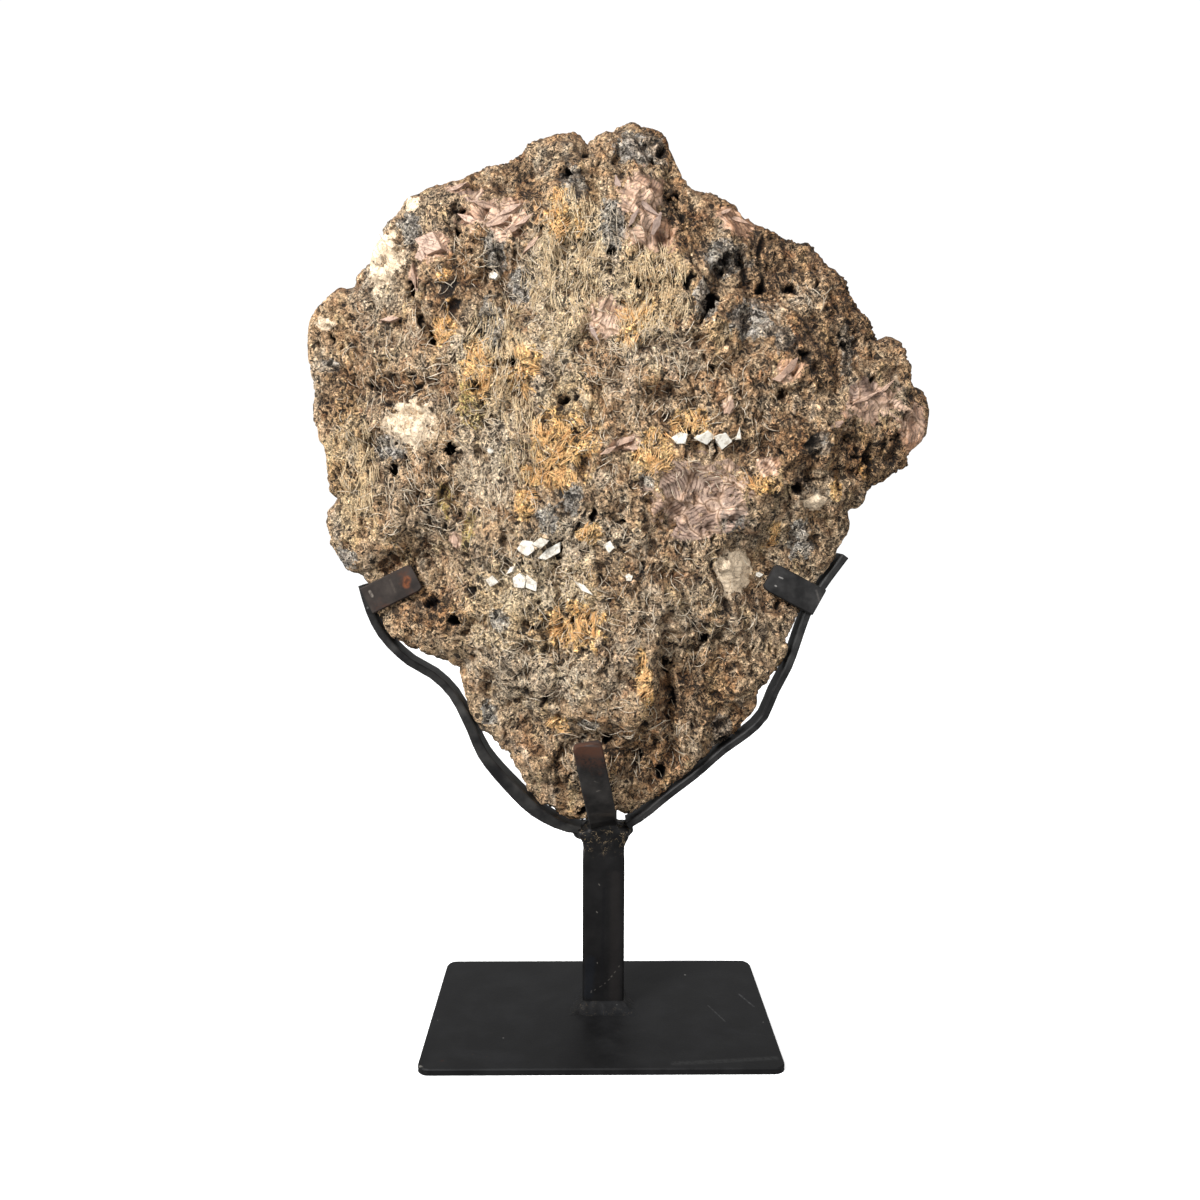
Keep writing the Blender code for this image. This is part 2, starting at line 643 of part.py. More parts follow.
def build_stone(arm_inner_lines, material):
    """One solid: rough relief in front, a broken rim, and a flat sawn face behind."""
    outline = stone_outline(arm_inner_lines)
    middle = np.array(STONE_MIDDLE)
    front_ring = middle + (outline - middle) * FRONT_RING
    back_ring = middle + (outline - middle) * BACK_RING
    points = face_points(front_ring)
    count = len(outline)
    placed, faces = fill_outline(front_ring, points)
    flat = np.array(placed)
    depth = clear_of_claws(flat, STONE_BACK - thickness(flat, outline))
    shape = bmesh.new()
    front = [shape.verts.new((x, y, z)) for (x, z), y in zip(placed, depth)]
    for face in faces:
        shape.faces.new([front[i] for i in face])
    widest = []
    for x, z in outline:
        widest.append(shape.verts.new((x, RIM_WIDEST + BULGE * RIM_BULGE.at(x, 0.0, z), z)))
    back = [shape.verts.new((x, STONE_BACK, z)) for x, z in back_ring]
    for upper, lower in ((front[:count], widest), (widest, back)):
        for i in range(count):
            j = (i + 1) % count
            shape.faces.new((upper[i], upper[j], lower[j], lower[i]))
    _, back_faces = fill_outline(back_ring, np.empty((0, 2)))
    for face in back_faces:
        shape.faces.new([back[i] for i in reversed(face)])
    bmesh.ops.triangulate(shape, faces=shape.faces)
    return add_object("stone", shape, material, 60.0)


def main():
    """Build the stand, then the stone in its seat."""
    clear_scene()
    iron = make_material("blackened_iron", BLACK_IRON, 0.45, 0.6)
    weld = make_material("weld_bead", WELD_IRON, 0.55, 0.6)
    agate = make_material("rough_agate", ROUGH_AGATE, 0.85, 0.0)
    left_outer, left_inner = arm_edges(LEFT_ARM_EDGE, LEFT_ARM_THICK, 1.0)
    right_outer, right_inner = arm_edges(RIGHT_ARM_EDGE, RIGHT_ARM_THICK, -1.0)
    build_base_plate(iron)
    build_post(iron)
    build_base_weld(weld)
    build_head_weld(weld)
    build_arm("left_arm", left_outer, left_inner, iron)
    build_arm("right_arm", right_outer, right_inner, iron)
    for claw in CLAWS:
        build_claw(claw, iron)
    build_stone((left_inner, right_inner), agate)


main()
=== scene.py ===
"""Dresses a rough agate and the iron stand that holds it, and sets them in a plain studio.

Places on the stone are in millimetres and MM turns them into metres. X runs to the viewer's right,
Y runs away from the viewer and Z runs up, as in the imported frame.
"""
import itertools
import json
import logging
import math
import random
from collections.abc import Iterator
from dataclasses import dataclass
from enum import Enum

import bmesh
import bpy
import numpy as np
from mathutils import Matrix, Vector, noise
from mathutils.bvhtree import BVHTree

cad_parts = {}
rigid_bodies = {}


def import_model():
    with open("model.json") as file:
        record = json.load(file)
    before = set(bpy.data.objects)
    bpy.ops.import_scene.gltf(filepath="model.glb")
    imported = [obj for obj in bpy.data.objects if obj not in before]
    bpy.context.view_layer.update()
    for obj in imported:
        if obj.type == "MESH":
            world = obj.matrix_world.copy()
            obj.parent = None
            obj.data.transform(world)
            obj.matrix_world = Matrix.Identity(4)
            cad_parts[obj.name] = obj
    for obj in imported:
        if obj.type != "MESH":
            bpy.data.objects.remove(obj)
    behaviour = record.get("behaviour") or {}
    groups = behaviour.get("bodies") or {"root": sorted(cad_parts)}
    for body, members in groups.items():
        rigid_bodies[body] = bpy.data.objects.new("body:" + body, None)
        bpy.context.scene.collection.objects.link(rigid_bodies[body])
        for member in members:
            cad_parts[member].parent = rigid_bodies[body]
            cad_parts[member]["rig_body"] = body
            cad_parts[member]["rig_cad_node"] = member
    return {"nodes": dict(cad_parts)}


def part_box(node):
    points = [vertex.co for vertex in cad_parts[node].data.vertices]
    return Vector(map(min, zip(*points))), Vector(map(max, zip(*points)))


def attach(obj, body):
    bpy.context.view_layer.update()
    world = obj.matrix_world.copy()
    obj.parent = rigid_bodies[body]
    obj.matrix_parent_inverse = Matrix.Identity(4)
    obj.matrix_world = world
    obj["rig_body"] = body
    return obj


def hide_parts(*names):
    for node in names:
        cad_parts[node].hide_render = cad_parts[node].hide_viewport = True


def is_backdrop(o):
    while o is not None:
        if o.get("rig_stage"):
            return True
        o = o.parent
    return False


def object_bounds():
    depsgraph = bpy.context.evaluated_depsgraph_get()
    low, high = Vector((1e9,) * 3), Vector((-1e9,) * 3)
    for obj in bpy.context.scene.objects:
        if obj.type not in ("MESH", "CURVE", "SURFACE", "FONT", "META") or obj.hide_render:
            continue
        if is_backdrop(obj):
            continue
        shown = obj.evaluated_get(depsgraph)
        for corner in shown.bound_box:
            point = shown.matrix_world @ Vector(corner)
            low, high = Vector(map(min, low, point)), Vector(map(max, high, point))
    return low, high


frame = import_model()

LOG = logging.getLogger("agate")
CAD_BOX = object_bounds()
MM = 0.001
BODY = "root"
NOISE_SEED = 11

Colour = tuple[float, float, float, float]
Point = tuple[float, float, float]
Socket = bpy.types.NodeSocket
Feed = Socket | float | tuple


class Mineral(Enum):
    """What a patch of the rough face is made of; the value names the mesh's attribute."""

    PINK = "pink"
    MAUVE = "mauve"
    OCHRE = "ochre"
    SAND = "sand"
    MOSS = "moss"
    SLATE = "slate"
    CREAM = "cream"
    PALE = "pale"
    DARK = "dark"


class Slot(Enum):
    """The record's material slots, by name; this script gives no piece a slot."""

    AGATE = "agate"
    WELD = "weld_bead"


@dataclass(frozen=True)
class Spot:
    """An oval place on the rough face; a positive turn leans its top to the right."""

    x: float
    z: float
    width: float
    height: float
    turn: float = 0.0

    def inside(self, places: np.ndarray) -> np.ndarray:
        """Measure how far inside the oval each place lies.

        Args:
            places: Rows of x, y and z in millimetres.

        Returns:
            One at the oval's middle, nought on its edge and less beyond it.
        """
        across, up = places[:, 0] - self.x, places[:, 2] - self.z
        lean = math.radians(self.turn)
        along = (across * math.cos(lean) - up * math.sin(lean)) / (self.width / 2)
        above = (across * math.sin(lean) + up * math.cos(lean)) / (self.height / 2)
        return 1.0 - np.hypot(along, above)


def spots(*rows: tuple[float, ...]) -> tuple[Spot, ...]:
    """Make a spot of each row of numbers."""
    return tuple(Spot(*row) for row in rows)


PATCHES: dict[Mineral, tuple[Spot, ...]] = {
    Mineral.PINK: spots(
        (16, 362, 18, 21), (21, 347, 21, 15), (57, 354, 16, 12), (-40, 351, 14, 18, 20),
        (-50, 354, 20, 10, -15), (-71, 340, 14, 12), (-62, 366, 8, 4), (-80, 329, 4, 9), (1, 311, 17, 16),
        (115, 278, 24, 15), (136, 267, 14, 19), (78, 290, 9, 11, 45), (70, 250, 10, 8),
        (10, 259, 14, 6, -15), (53, 275, 5, 7), (-63, 218, 5, 7), (-91, 312, 8, 3),
    ),
    Mineral.MAUVE: spots(
        (42, 237, 38, 30), (38, 224, 20, 11), (-55, 363, 9, 7), (112, 282, 14, 10),
    ),
    Mineral.OCHRE: spots(
        (-18, 260, 26, 25), (-21, 246, 25, 11), (-19, 353, 8, 22), (-10, 350, 4, 12), (-52, 289, 12, 23),
        (-33, 289, 10, 21, 30), (12, 310, 12, 21, 40), (-68, 306, 9, 11), (-63, 316, 5, 6),
        (-66, 329, 6, 6), (-13, 181, 24, 17), (-13, 189, 8, 7), (75, 222, 6, 11), (69, 242, 13, 8),
        (18, 159, 6, 26, -10), (115, 251, 6, 9), (101, 240, 6, 10), (-33, 233, 8, 14), (-5, 221, 11, 8),
        (22, 256, 17, 17, 30), (-18, 136, 9, 7), (37, 267, 17, 11),
    ),
    Mineral.SAND: spots(
        (30, 320, 17, 23, 30), (-14, 277, 25, 21), (49, 306, 12, 12), (-110, 250, 20, 60),
        (-30, 190, 60, 40), (-12, 335, 30, 70, 5), (20, 325, 36, 40, 30), (-45, 290, 30, 50, 10),
    ),
    Mineral.MOSS: spots((-55, 277, 10, 21), (-57, 223, 5, 21, 10), (-67, 235, 6, 13)),
    Mineral.SLATE: spots(
        (-13, 367, 11, 17), (4, 350, 10, 20), (16, 384, 21, 15), (-47, 308, 10, 21), (-35, 324, 11, 14),
        (-45, 340, 10, 18), (-82, 350, 10, 14), (43, 319, 10, 17), (52, 338, 19, 15), (62, 311, 19, 17),
        (19, 243, 7, 7), (55, 228, 11, 13), (87, 218, 10, 16), (92, 259, 11, 9), (-113, 209, 11, 9),
        (-118, 293, 10, 6), (-13, 237, 9, 14), (-90, 258, 17, 10), (-24, 227, 11, 11), (54, 130, 9, 22),
        (105, 300, 7, 21), (-44, 184, 8, 8), (-50, 139, 7, 12), (-6, 137, 8, 5), (76, 303, 8, 14, -20),
    ),
    Mineral.CREAM: spots(
        (-81, 267, 21, 18), (-93, 336, 14, 23, 10), (-81, 360, 6, 7), (58, 204, 15, 18), (93, 235, 9, 7),
        (-120, 311, 7, 5),
    ),
    Mineral.PALE: spots(
        (-59, 298, 11, 18), (-24, 333, 26, 30), (-1, 244, 9, 9), (-44, 171, 24, 28), (-27, 200, 34, 30),
        (-20, 310, 24, 60, 8), (-50, 255, 24, 44, -10), (-8, 215, 50, 26), (2, 330, 16, 50, -8),
        (-30, 160, 40, 30), (-95, 330, 16, 30, 15), (20, 300, 40, 20, 20), (87, 322, 18, 13, -20),
        (84, 318, 10, 8),
    ),
    Mineral.DARK: spots(
        (31, 363, 10, 22), (68, 334, 20, 28), (84, 256, 20, 26), (108, 257, 30, 20), (43, 152, 30, 34),
        (24, 118, 26, 26), (-87, 282, 28, 14, 20), (8, 124, 13, 26), (-114, 244, 14, 14), (90, 300, 36, 36),
        (-72, 186, 26, 18), (75, 350, 56, 40, 55), (112, 318, 40, 36), (125, 250, 30, 30),
        (-38, 378, 60, 12, 65), (-65, 322, 18, 30, 10), (30, 388, 26, 16), (62, 128, 30, 26, 20),
        (-86, 275, 16, 20), (35, 350, 22, 18, 30), (-115, 280, 16, 30), (8, 205, 26, 20),
    ),
}

HOLES = spots(
    (-81, 324, 3, 10), (-77, 310, 3.5, 12, -25), (-72, 303, 4, 6), (-118, 306, 2.5, 9),
    (-113, 301, 3.5, 3.5), (-80, 286, 3, 9, -20), (-100, 285, 7, 3.5), (-90, 276, 6, 4, 20),
    (-89, 248, 5, 3.5), (-83, 253, 3, 6), (-64, 257, 6, 6, 20), (-38, 293, 4, 7, 20), (-12, 279, 3, 6),
    (-15, 277, 4, 4), (-11, 264, 3.5, 4), (-18, 212, 3, 6), (-3, 229, 3.5, 10), (45, 318, 5, 19, 20),
    (51, 336, 4.5, 13, 40), (59, 337, 3.5, 7), (31, 363, 5, 10), (33, 355, 5, 8), (25, 383, 5, 7, 30),
    (14, 325, 4.5, 4.5), (36, 327, 4, 11, 30), (46, 289, 3.5, 5), (85, 297, 8, 5, 30),
    (104, 302, 5, 4.5, 30), (132, 272, 4.5, 9, 20), (128, 263, 5, 6), (116, 288, 3.5, 5), (41, 270, 4, 5),
    (36, 264, 3, 8), (-26, 147, 4, 10, 20), (28, 163, 3.5, 8, -20), (31, 149, 4, 13, -10),
    (-8, 171, 3, 3.5), (-15, 175, 3, 3), (2, 128, 4.5, 4), (-12, 184, 3.5, 3.5), (48, 256, 3.5, 6),
    (84, 240, 6, 5), (89, 244, 4.5, 4.5), (110, 254, 6, 4.5), (117, 253, 5, 8), (96, 267, 6, 3.5, 20),
    (76, 257, 3.5, 7), (-7, 93, 8, 6), (27, 113, 6, 9), (17, 121, 4.5, 9), (-16, 373, 4, 4),
    (-7, 381, 4, 6), (3, 339, 4, 5), (68, 325, 5, 12), (81, 326, 8, 5, 30), (-57, 197, 8, 6),
    (-76, 191, 8, 5), (-64, 183, 7, 7), (-60, 347, 4, 6), (-60, 356, 4, 4), (21, 378, 4, 5),
    (44, 176, 3.5, 3.5), (8, 226, 3, 4), (-30, 180, 3.5, 3.5),
)


@dataclass(frozen=True)
class Grain:
    """Natural unevenness with bumps of one size in millimetres; the seed picks which bumps."""

    size: float
    seed: float

    def over(self, places: np.ndarray) -> np.ndarray:
        """Read smooth noise.

        Args:
            places: Rows of x, y and z in millimetres.

        Returns:
            A number from about -1 to 1 for each place.
        """
        return np.array([noise.noise(Vector(place)) for place in places / self.size + self.seed])

    def stir(self, places: np.ndarray, amount: float) -> np.ndarray:
        """Push places about.

        Args:
            places: Rows of x, y and z in millimetres.
            amount: How far a place may move, in millimetres.

        Returns:
            The moved places.
        """
        pushes = [noise.noise_vector(Vector(place)) for place in places / self.size + self.seed]
        return places + amount * np.array(pushes)


def lots(cells: np.ndarray, salt: int) -> np.ndarray:
    """Draw an even random number for each cell of a lattice.

    Args:
        cells: Rows of three whole numbers.
        salt: Which of many draws this is.

    Returns:
        A number from 0 to 1 for each cell, always the same for the same cell and salt.
    """
    whole = cells.astype(np.int64).astype(np.uint32)
    mixed = whole[:, 0] * np.uint32(73856093)
    mixed ^= whole[:, 1] * np.uint32(19349663)
    mixed ^= whole[:, 2] * np.uint32(83492791)
    mixed ^= np.uint32((salt * 2654435761) % 2**32)
    for turn in (16, 13, 16):
        mixed ^= mixed >> np.uint32(turn)
        mixed *= np.uint32(2246822519)
    return (mixed >> np.uint32(8)).astype(float) / 2**24


def cells_around(places: np.ndarray, spacing: float, salt: int) -> Iterator[tuple[np.ndarray, np.ndarray]]:
    """Go through the lattice cells near each place, each with one centre somewhere in it.

    Args:
        places: Rows of x, y and z in millimetres.
        spacing: Width of a cell in millimetres.
        salt: Which lattice this is.

    Yields:
        The run from each place's cell centre to the place, in millimetres, and the cells.
    """
    home = np.floor(places / spacing)
    for step in itertools.product((-1, 0, 1), repeat=3):
        cells = home + step
        jitter = np.column_stack([lots(cells, salt + axis) for axis in range(3)])
        yield places - (cells + jitter) * spacing, cells


@dataclass(frozen=True)
class Foam:
    """Cells blown side by side like those in bread, some of them deep, with raised walls between."""

    spacing: float
    depth: float
    share: float
    salt: int
    wall: float = 0.42

    def hollow(self, places: np.ndarray, openness: np.ndarray) -> np.ndarray:
        """Measure how deep the cells are.

        Args:
            places: Rows of x, y and z in millimetres.
            openness: For each place, how much likelier than usual its cell is to be deep.

        Returns:
            The depth below each place in millimetres, nought on the walls.
        """
        nearest = np.full(len(places), 9.0 * self.spacing)
        second = nearest.copy()
        lot = np.zeros(len(places))
        for run, cells in cells_around(places, self.spacing, self.salt):
            gap = np.linalg.norm(run, axis=1)
            closer = gap < nearest
            second = np.where(closer, nearest, np.minimum(second, gap))
            lot = np.where(closer, lots(cells, self.salt + 3), lot)
            nearest = np.where(closer, gap, nearest)
        inside = np.clip((second - nearest) / (self.wall * self.spacing), 0.0, 1.0)
        deep = np.clip((lot - 1.0 + self.share + openness) * 3.0, 0.0, 1.0)
        return self.depth * (0.22 + 0.78 * deep) * inside * inside * (3.0 - 2.0 * inside)


@dataclass(frozen=True)
class Shards:
    """Crystal plates that break the surface into small planes, each tipped its own way."""

    spacing: float
    tip: float
    salt: int

    def lift(self, places: np.ndarray) -> np.ndarray:
        """Measure how the tipped planes lift the surface.

        Args:
            places: Rows of x, y and z in millimetres.

        Returns:
            The lift at each place in millimetres.
        """
        nearest = np.full(len(places), 9.0 * self.spacing)
        lift = np.zeros(len(places))
        for run, cells in cells_around(places, self.spacing, self.salt):
            gap = np.linalg.norm(run, axis=1)
            closer = gap < nearest
            slope_x = self.tip * (2.0 * lots(cells, self.salt + 3) - 1.0)
            slope_z = self.tip * (2.0 * lots(cells, self.salt + 4) - 1.0)
            plane = run[:, 0] * slope_x + run[:, 2] * slope_z + self.spacing * self.tip * 0.3 * slope_x
            lift = np.where(closer, plane, lift)
            nearest = np.where(closer, gap, nearest)
        return lift


class Pen:
    """Adds shader nodes to one tree and joins them."""

    def __init__(self, tree: bpy.types.NodeTree) -> None:
        """Keep the tree that the nodes go into."""
        self.tree = tree

    def feed(self, socket: Socket, value: Feed) -> None:
        """Join a socket to another one, or set its value.

        Args:
            socket: The input to feed.
            value: Another node's output, or a constant.
        """
        if isinstance(value, bpy.types.NodeSocket):
            self.tree.links.new(value, socket)
        else:
            socket.default_value = value

    def add(self, kind: str, feeds: dict[str | int, Feed] | None = None,
            **settings: object) -> bpy.types.Node:
        """Add a node.

        Args:
            kind: The node's type, without ShaderNode before it.
            feeds: What goes into its sockets, by name or number.
            settings: The node's own settings.

        Returns:
            The new node.
        """
        node = self.tree.nodes.new("ShaderNode" + kind)
        for name, value in settings.items():
            setattr(node, name, value)
        for key, value in (feeds or {}).items():
            self.feed(node.inputs[key], value)
        return node

    def math(self, operation: str, *values: Feed) -> Socket:
        """Add a Math node and return its result."""
        return self.add("Math", dict(enumerate(values)), operation=operation).outputs[0]

    def times(self, first: Feed, second: Feed) -> Socket:
        """Multiply two numbers."""
        return self.math("MULTIPLY", first, second)

    def vector(self, operation: str, *values: Feed) -> Socket:
        """Add a Vector Math node and return its result, a vector."""
        return self.add("VectorMath", dict(enumerate(values)), operation=operation).outputs["Vector"]

    def measure(self, operation: str, *values: Feed) -> Socket:
        """Add a Vector Math node and return its result, a number."""
        return self.add("VectorMath", dict(enumerate(values)), operation=operation).outputs["Value"]

    def enlarge(self, places: Feed, scale: float | Point) -> Socket:
        """Multiply places by one number or by one for each axis."""
        factors = scale if isinstance(scale, tuple) else (scale, scale, scale)
        return self.vector("MULTIPLY", places, factors)

    def spread(self, value: Feed, low: float, high: float, to_low: float = 0.0,
               to_high: float = 1.0) -> Socket:
        """Add a smooth Map Range node and return its result."""
        feeds = {"Value": value, "From Min": low, "From Max": high, "To Min": to_low, "To Max": to_high}
        return self.add("MapRange", feeds, interpolation_type="SMOOTHSTEP").outputs["Result"]

    def noise(self, places: Feed, scale: float, detail: float = 2.0, roughness: float = 0.5,
              distortion: float = 0.0) -> Socket:
        """Add a Noise node.

        Args:
            places: Where the noise is read.
            scale: Bumps in a metre.
            detail: How many finer layers it has.
            roughness: How strong the finer layers are.
            distortion: How far it is drawn out of shape.

        Returns:
            The noise, from 0 to 1.
        """
        feeds = {"Vector": places, "Scale": scale, "Detail": detail, "Roughness": roughness,
                 "Distortion": distortion}
        return self.add("TexNoise", feeds).outputs["Fac"]

    def stir(self, places: Feed, scale: float, amount: float) -> Socket:
        """Push places about by coloured noise.

        Args:
            places: The places.
            scale: Bumps in a metre.
            amount: How far a place may move, in metres.

        Returns:
            The moved places.
        """
        colour = self.add("TexNoise", {"Vector": places, "Scale": scale, "Detail": 1.0}).outputs["Color"]
        push = self.vector("SUBTRACT", colour, (0.5, 0.5, 0.5))
        return self.vector("ADD", places, self.enlarge(push, amount))

    def threads(self, places: Feed, scale: float, width: float) -> Socket:
        """Draw the thin winding lines where noise crosses its middle value, and return their mask."""
        wave = self.noise(places, scale, 2.0, 0.6)
        return self.spread(self.math("ABSOLUTE", self.math("SUBTRACT", wave, 0.5)), 0.0, width, 1.0, 0.0)

    def mix(self, share: Feed, first: Feed, second: Feed, blend: str = "MIX") -> Socket:
        """Add a colour Mix node and return its result."""
        feeds = {0: share, 6: first, 7: second}
        return self.add("Mix", feeds, data_type="RGBA", blend_type=blend).outputs[2]

    def grey(self, value: Feed) -> Socket:
        """Turn a number into a grey of that brightness."""
        return self.add("CombineColor", {0: value, 1: value, 2: value}).outputs[0]

    def attribute(self, name: str) -> Socket:
        """Read a number that the mesh keeps at its points."""
        return self.add("Attribute", attribute_name=name).outputs["Fac"]

    def ramp(self, value: Feed, stops: tuple[tuple[float, Colour], ...]) -> Socket:
        """Add a colour ramp.

        Args:
            value: What is looked up in it.
            stops: The place and the colour of each stop.

        Returns:
            The ramp's colour.
        """
        node = self.add("ValToRGB", {"Fac": value})
        elements = node.color_ramp.elements
        for index, (position, colour) in enumerate(stops):
            element = elements[index] if index < 2 else elements.new(position)
            element.position = position
            element.color = colour
        return node.outputs["Color"]

    def group(self, tree: bpy.types.NodeTree, feeds: dict[str, Feed]) -> bpy.types.Node:
        """Place a node group.

        Args:
            tree: The group.
            feeds: What goes into its inputs, by name.

        Returns:
            The group's node.
        """
        node = self.tree.nodes.new("ShaderNodeGroup")
        node.node_tree = tree
        for key, value in feeds.items():
            self.feed(node.inputs[key], value)
        return node


class GroupDraft(Pen):
    """A shader node group while it is being drawn, with its own inputs and outputs."""

    def __init__(self, name: str, inputs: dict[str, str], outputs: dict[str, str]) -> None:
        """Make an empty group.

        Args:
            name: The group's name.
            inputs: The type of each input, by name.
            outputs: The type of each output, by name.
        """
        super().__init__(bpy.data.node_groups.new(name, "ShaderNodeTree"))
        for direction, sockets in (("INPUT", inputs), ("OUTPUT", outputs)):
            for label, kind in sockets.items():
                self.tree.interface.new_socket(label, in_out=direction, socket_type="NodeSocket" + kind)
        self.given = self.tree.nodes.new("NodeGroupInput").outputs
        self.result = self.tree.nodes.new("NodeGroupOutput").inputs

    def finish(self, results: dict[str, Feed]) -> bpy.types.NodeTree:
        """Join the results to the group's outputs and return the group."""
        for key, value in results.items():
            self.feed(self.result[key], value)
        return self.tree


class SharedEffects:
    """The shader node groups that several finishes use, each built once."""

    def __init__(self) -> None:
        """Build every group."""
        self.ragged = self.build_ragged()
        self.foam = self.build_foam()
        self.plates = self.build_plates()
        self.fibres = self.build_fibres()
        self.stroke = self.build_stroke()
        self.patina = self.build_patina()

    def build_ragged(self) -> bpy.types.NodeTree:
        """Draw a patch's soft oval turned into a mask with a ragged edge.

        Returns:
            The group.
        """
        draft = GroupDraft("ragged_patch", {"Inside": "Float", "Vector": "Vector", "Reach": "Float"},
                           {"Mask": "Float"})
        coarse = draft.noise(draft.given["Vector"], 210.0, 4.0, 0.65)
        pushed = draft.math("MULTIPLY_ADD", draft.math("SUBTRACT", coarse, 0.5), 2.6, draft.given["Inside"])
        shown = draft.math("ADD", pushed, draft.given["Reach"])
        return draft.finish({"Mask": draft.spread(shown, 0.12, 0.34)})

    def build_foam(self) -> bpy.types.NodeTree:
        """Draw cells in three sizes: dark open mouths, and bright walls and threads between them.

        Returns:
            The group.
        """
        draft = GroupDraft("foam_cells", {"Vector": "Vector", "Openness": "Float"},
                           {"Pits": "Float", "Threads": "Float", "Grit": "Float"})
        places = draft.given["Vector"]
        stirred = draft.stir(draft.stir(places, 260.0, 0.0050), 900.0, 0.0018)
        pits = None
        walls = None
        for scale, rarity, weight in ((400.0, 0.75, 1.0), (720.0, 0.66, 1.0), (1400.0, 0.62, 0.9)):
            cell = draft.add("TexVoronoi", {"Vector": stirred, "Scale": scale})
            edge = draft.add("TexVoronoi", {"Vector": stirred, "Scale": scale}, feature="DISTANCE_TO_EDGE")
            lot = draft.add("SeparateColor", {"Color": cell.outputs["Color"]}).outputs[0]
            deep = draft.spread(draft.math("ADD", lot, draft.given["Openness"]), rarity, rarity + 0.18)
            mouth = draft.spread(edge.outputs["Distance"], 0.05, 0.17)
            pit = draft.times(draft.times(deep, mouth), weight)
            wall = draft.times(draft.spread(edge.outputs["Distance"], 0.0, 0.085, 1.0, 0.0), weight)
            pits = pit if pits is None else draft.math("MAXIMUM", pits, pit)
            walls = wall if walls is None else draft.math("MAXIMUM", walls, wall)
        patchy = draft.spread(draft.noise(places, 240.0, 3.0, 0.6), 0.40, 0.60, 0.15, 1.0)
        lines = draft.threads(draft.vector("ADD", stirred, (0.7, 0.2, 0.4)), 400.0, 0.026)
        long = draft.threads(draft.enlarge(stirred, (1.0, 1.0, 0.35)), 520.0, 0.030)
        threads = draft.math("MAXIMUM", walls, draft.math("MAXIMUM", lines, long))
        threads = draft.times(threads, patchy)
        grit = draft.noise(places, 900.0, 4.0, 0.75)
        return draft.finish({"Pits": pits, "Threads": threads, "Grit": grit})

    def build_plates(self) -> bpy.types.NodeTree:
        """Draw crystal plates with fine lines that curve round a far point, another one in each plate.

        Returns:
            The group.
        """
        draft = GroupDraft("striped_plates", {"Vector": "Vector", "Size": "Float", "Lines": "Float"},
                           {"Tone": "Float", "Lines": "Float", "Edge": "Float", "Border": "Float"})
        places = draft.given["Vector"]
        stirred = draft.stir(draft.stir(places, 130.0, 0.0050), 600.0, 0.0007)
        feeds = {"Vector": stirred, "Scale": draft.given["Size"]}
        cell = draft.add("TexVoronoi", feeds).outputs
        border = draft.add("TexVoronoi", feeds, feature="DISTANCE_TO_EDGE").outputs["Distance"]
        parts = draft.add("SeparateColor", {"Color": cell["Color"]}).outputs
        angle = draft.times(parts[0], math.tau)
        reach = draft.math("MULTIPLY_ADD", parts[2], 0.024, 0.003)
        away = draft.add("CombineXYZ", {"X": draft.times(draft.math("COSINE", angle), reach),
                                        "Z": draft.times(draft.math("SINE", angle), reach)})
        offset = draft.vector("SUBTRACT", stirred, cell["Position"])
        gap = draft.measure("LENGTH", draft.vector("ADD", offset, away.outputs["Vector"]))
        wave = draft.math("SINE", draft.times(gap, draft.given["Lines"]))
        worn = draft.spread(draft.noise(places, 500.0, 3.0, 0.6), 0.36, 0.52)
        lines = draft.times(draft.spread(wave, 0.30, 0.80), worn)
        return draft.finish({"Tone": parts[1], "Lines": lines,
                             "Edge": draft.spread(border, 0.0, 0.05, 1.0, 0.0),
                             "Border": draft.spread(border, 0.05, 0.13, 1.0, 0.0)})

    def build_fibres(self) -> bpy.types.NodeTree:
        """Draw bundles of needles lying side by side, each bundle leaning its own way.

        Returns:
            The group.
        """
        draft = GroupDraft("needle_bundles", {"Vector": "Vector", "Size": "Float"}, {"Needles": "Float"})
        places = draft.given["Vector"]
        stirred = draft.stir(places, 120.0, 0.004)
        cell = draft.add("TexVoronoi", {"Vector": stirred, "Scale": draft.given["Size"]})
        parts = draft.add("SeparateColor", {"Color": cell.outputs["Color"]}).outputs
        turned = draft.add("VectorRotate", {"Vector": places, "Axis": (0.0, 1.0, 0.0),
                                            "Angle": draft.times(parts[0], math.pi)})
        needles = draft.noise(draft.enlarge(turned.outputs["Vector"], (1.0, 1.0, 0.14)), 1500.0, 2.0, 0.6)
        return draft.finish({"Needles": draft.spread(needles, 0.35, 0.65)})

    def build_stroke(self) -> bpy.types.NodeTree:
        """Draw a scratch or a rubbed streak along a line, broken up by noise.

        Returns:
            The group.
        """
        inputs = {"Vector": "Vector", "Start": "Vector", "End": "Vector", "Width": "Float", "Breaks": "Float"}
        draft = GroupDraft("stroke", inputs, {"Mask": "Float"})
        given = draft.given
        run = draft.vector("SUBTRACT", given["End"], given["Start"])
        offset = draft.vector("SUBTRACT", given["Vector"], given["Start"])
        share = draft.math("DIVIDE", draft.measure("DOT_PRODUCT", offset, run),
                           draft.measure("DOT_PRODUCT", run, run))
        held = draft.add("Clamp", {"Value": share}).outputs[0]
        reached = draft.add("VectorMath", {0: run, 3: held}, operation="SCALE").outputs["Vector"]
        gap = draft.math("DIVIDE", draft.measure("DISTANCE", offset, reached), given["Width"])
        near = draft.spread(gap, 0.25, 1.0, 1.0, 0.0)
        broken = draft.spread(draft.noise(given["Vector"], 900.0, 3.0, 0.7), 0.38, 0.56)
        kept = draft.add("Mix", {"Factor": given["Breaks"], "A": 1.0, "B": broken}).outputs[0]
        return draft.finish({"Mask": draft.times(near, kept)})

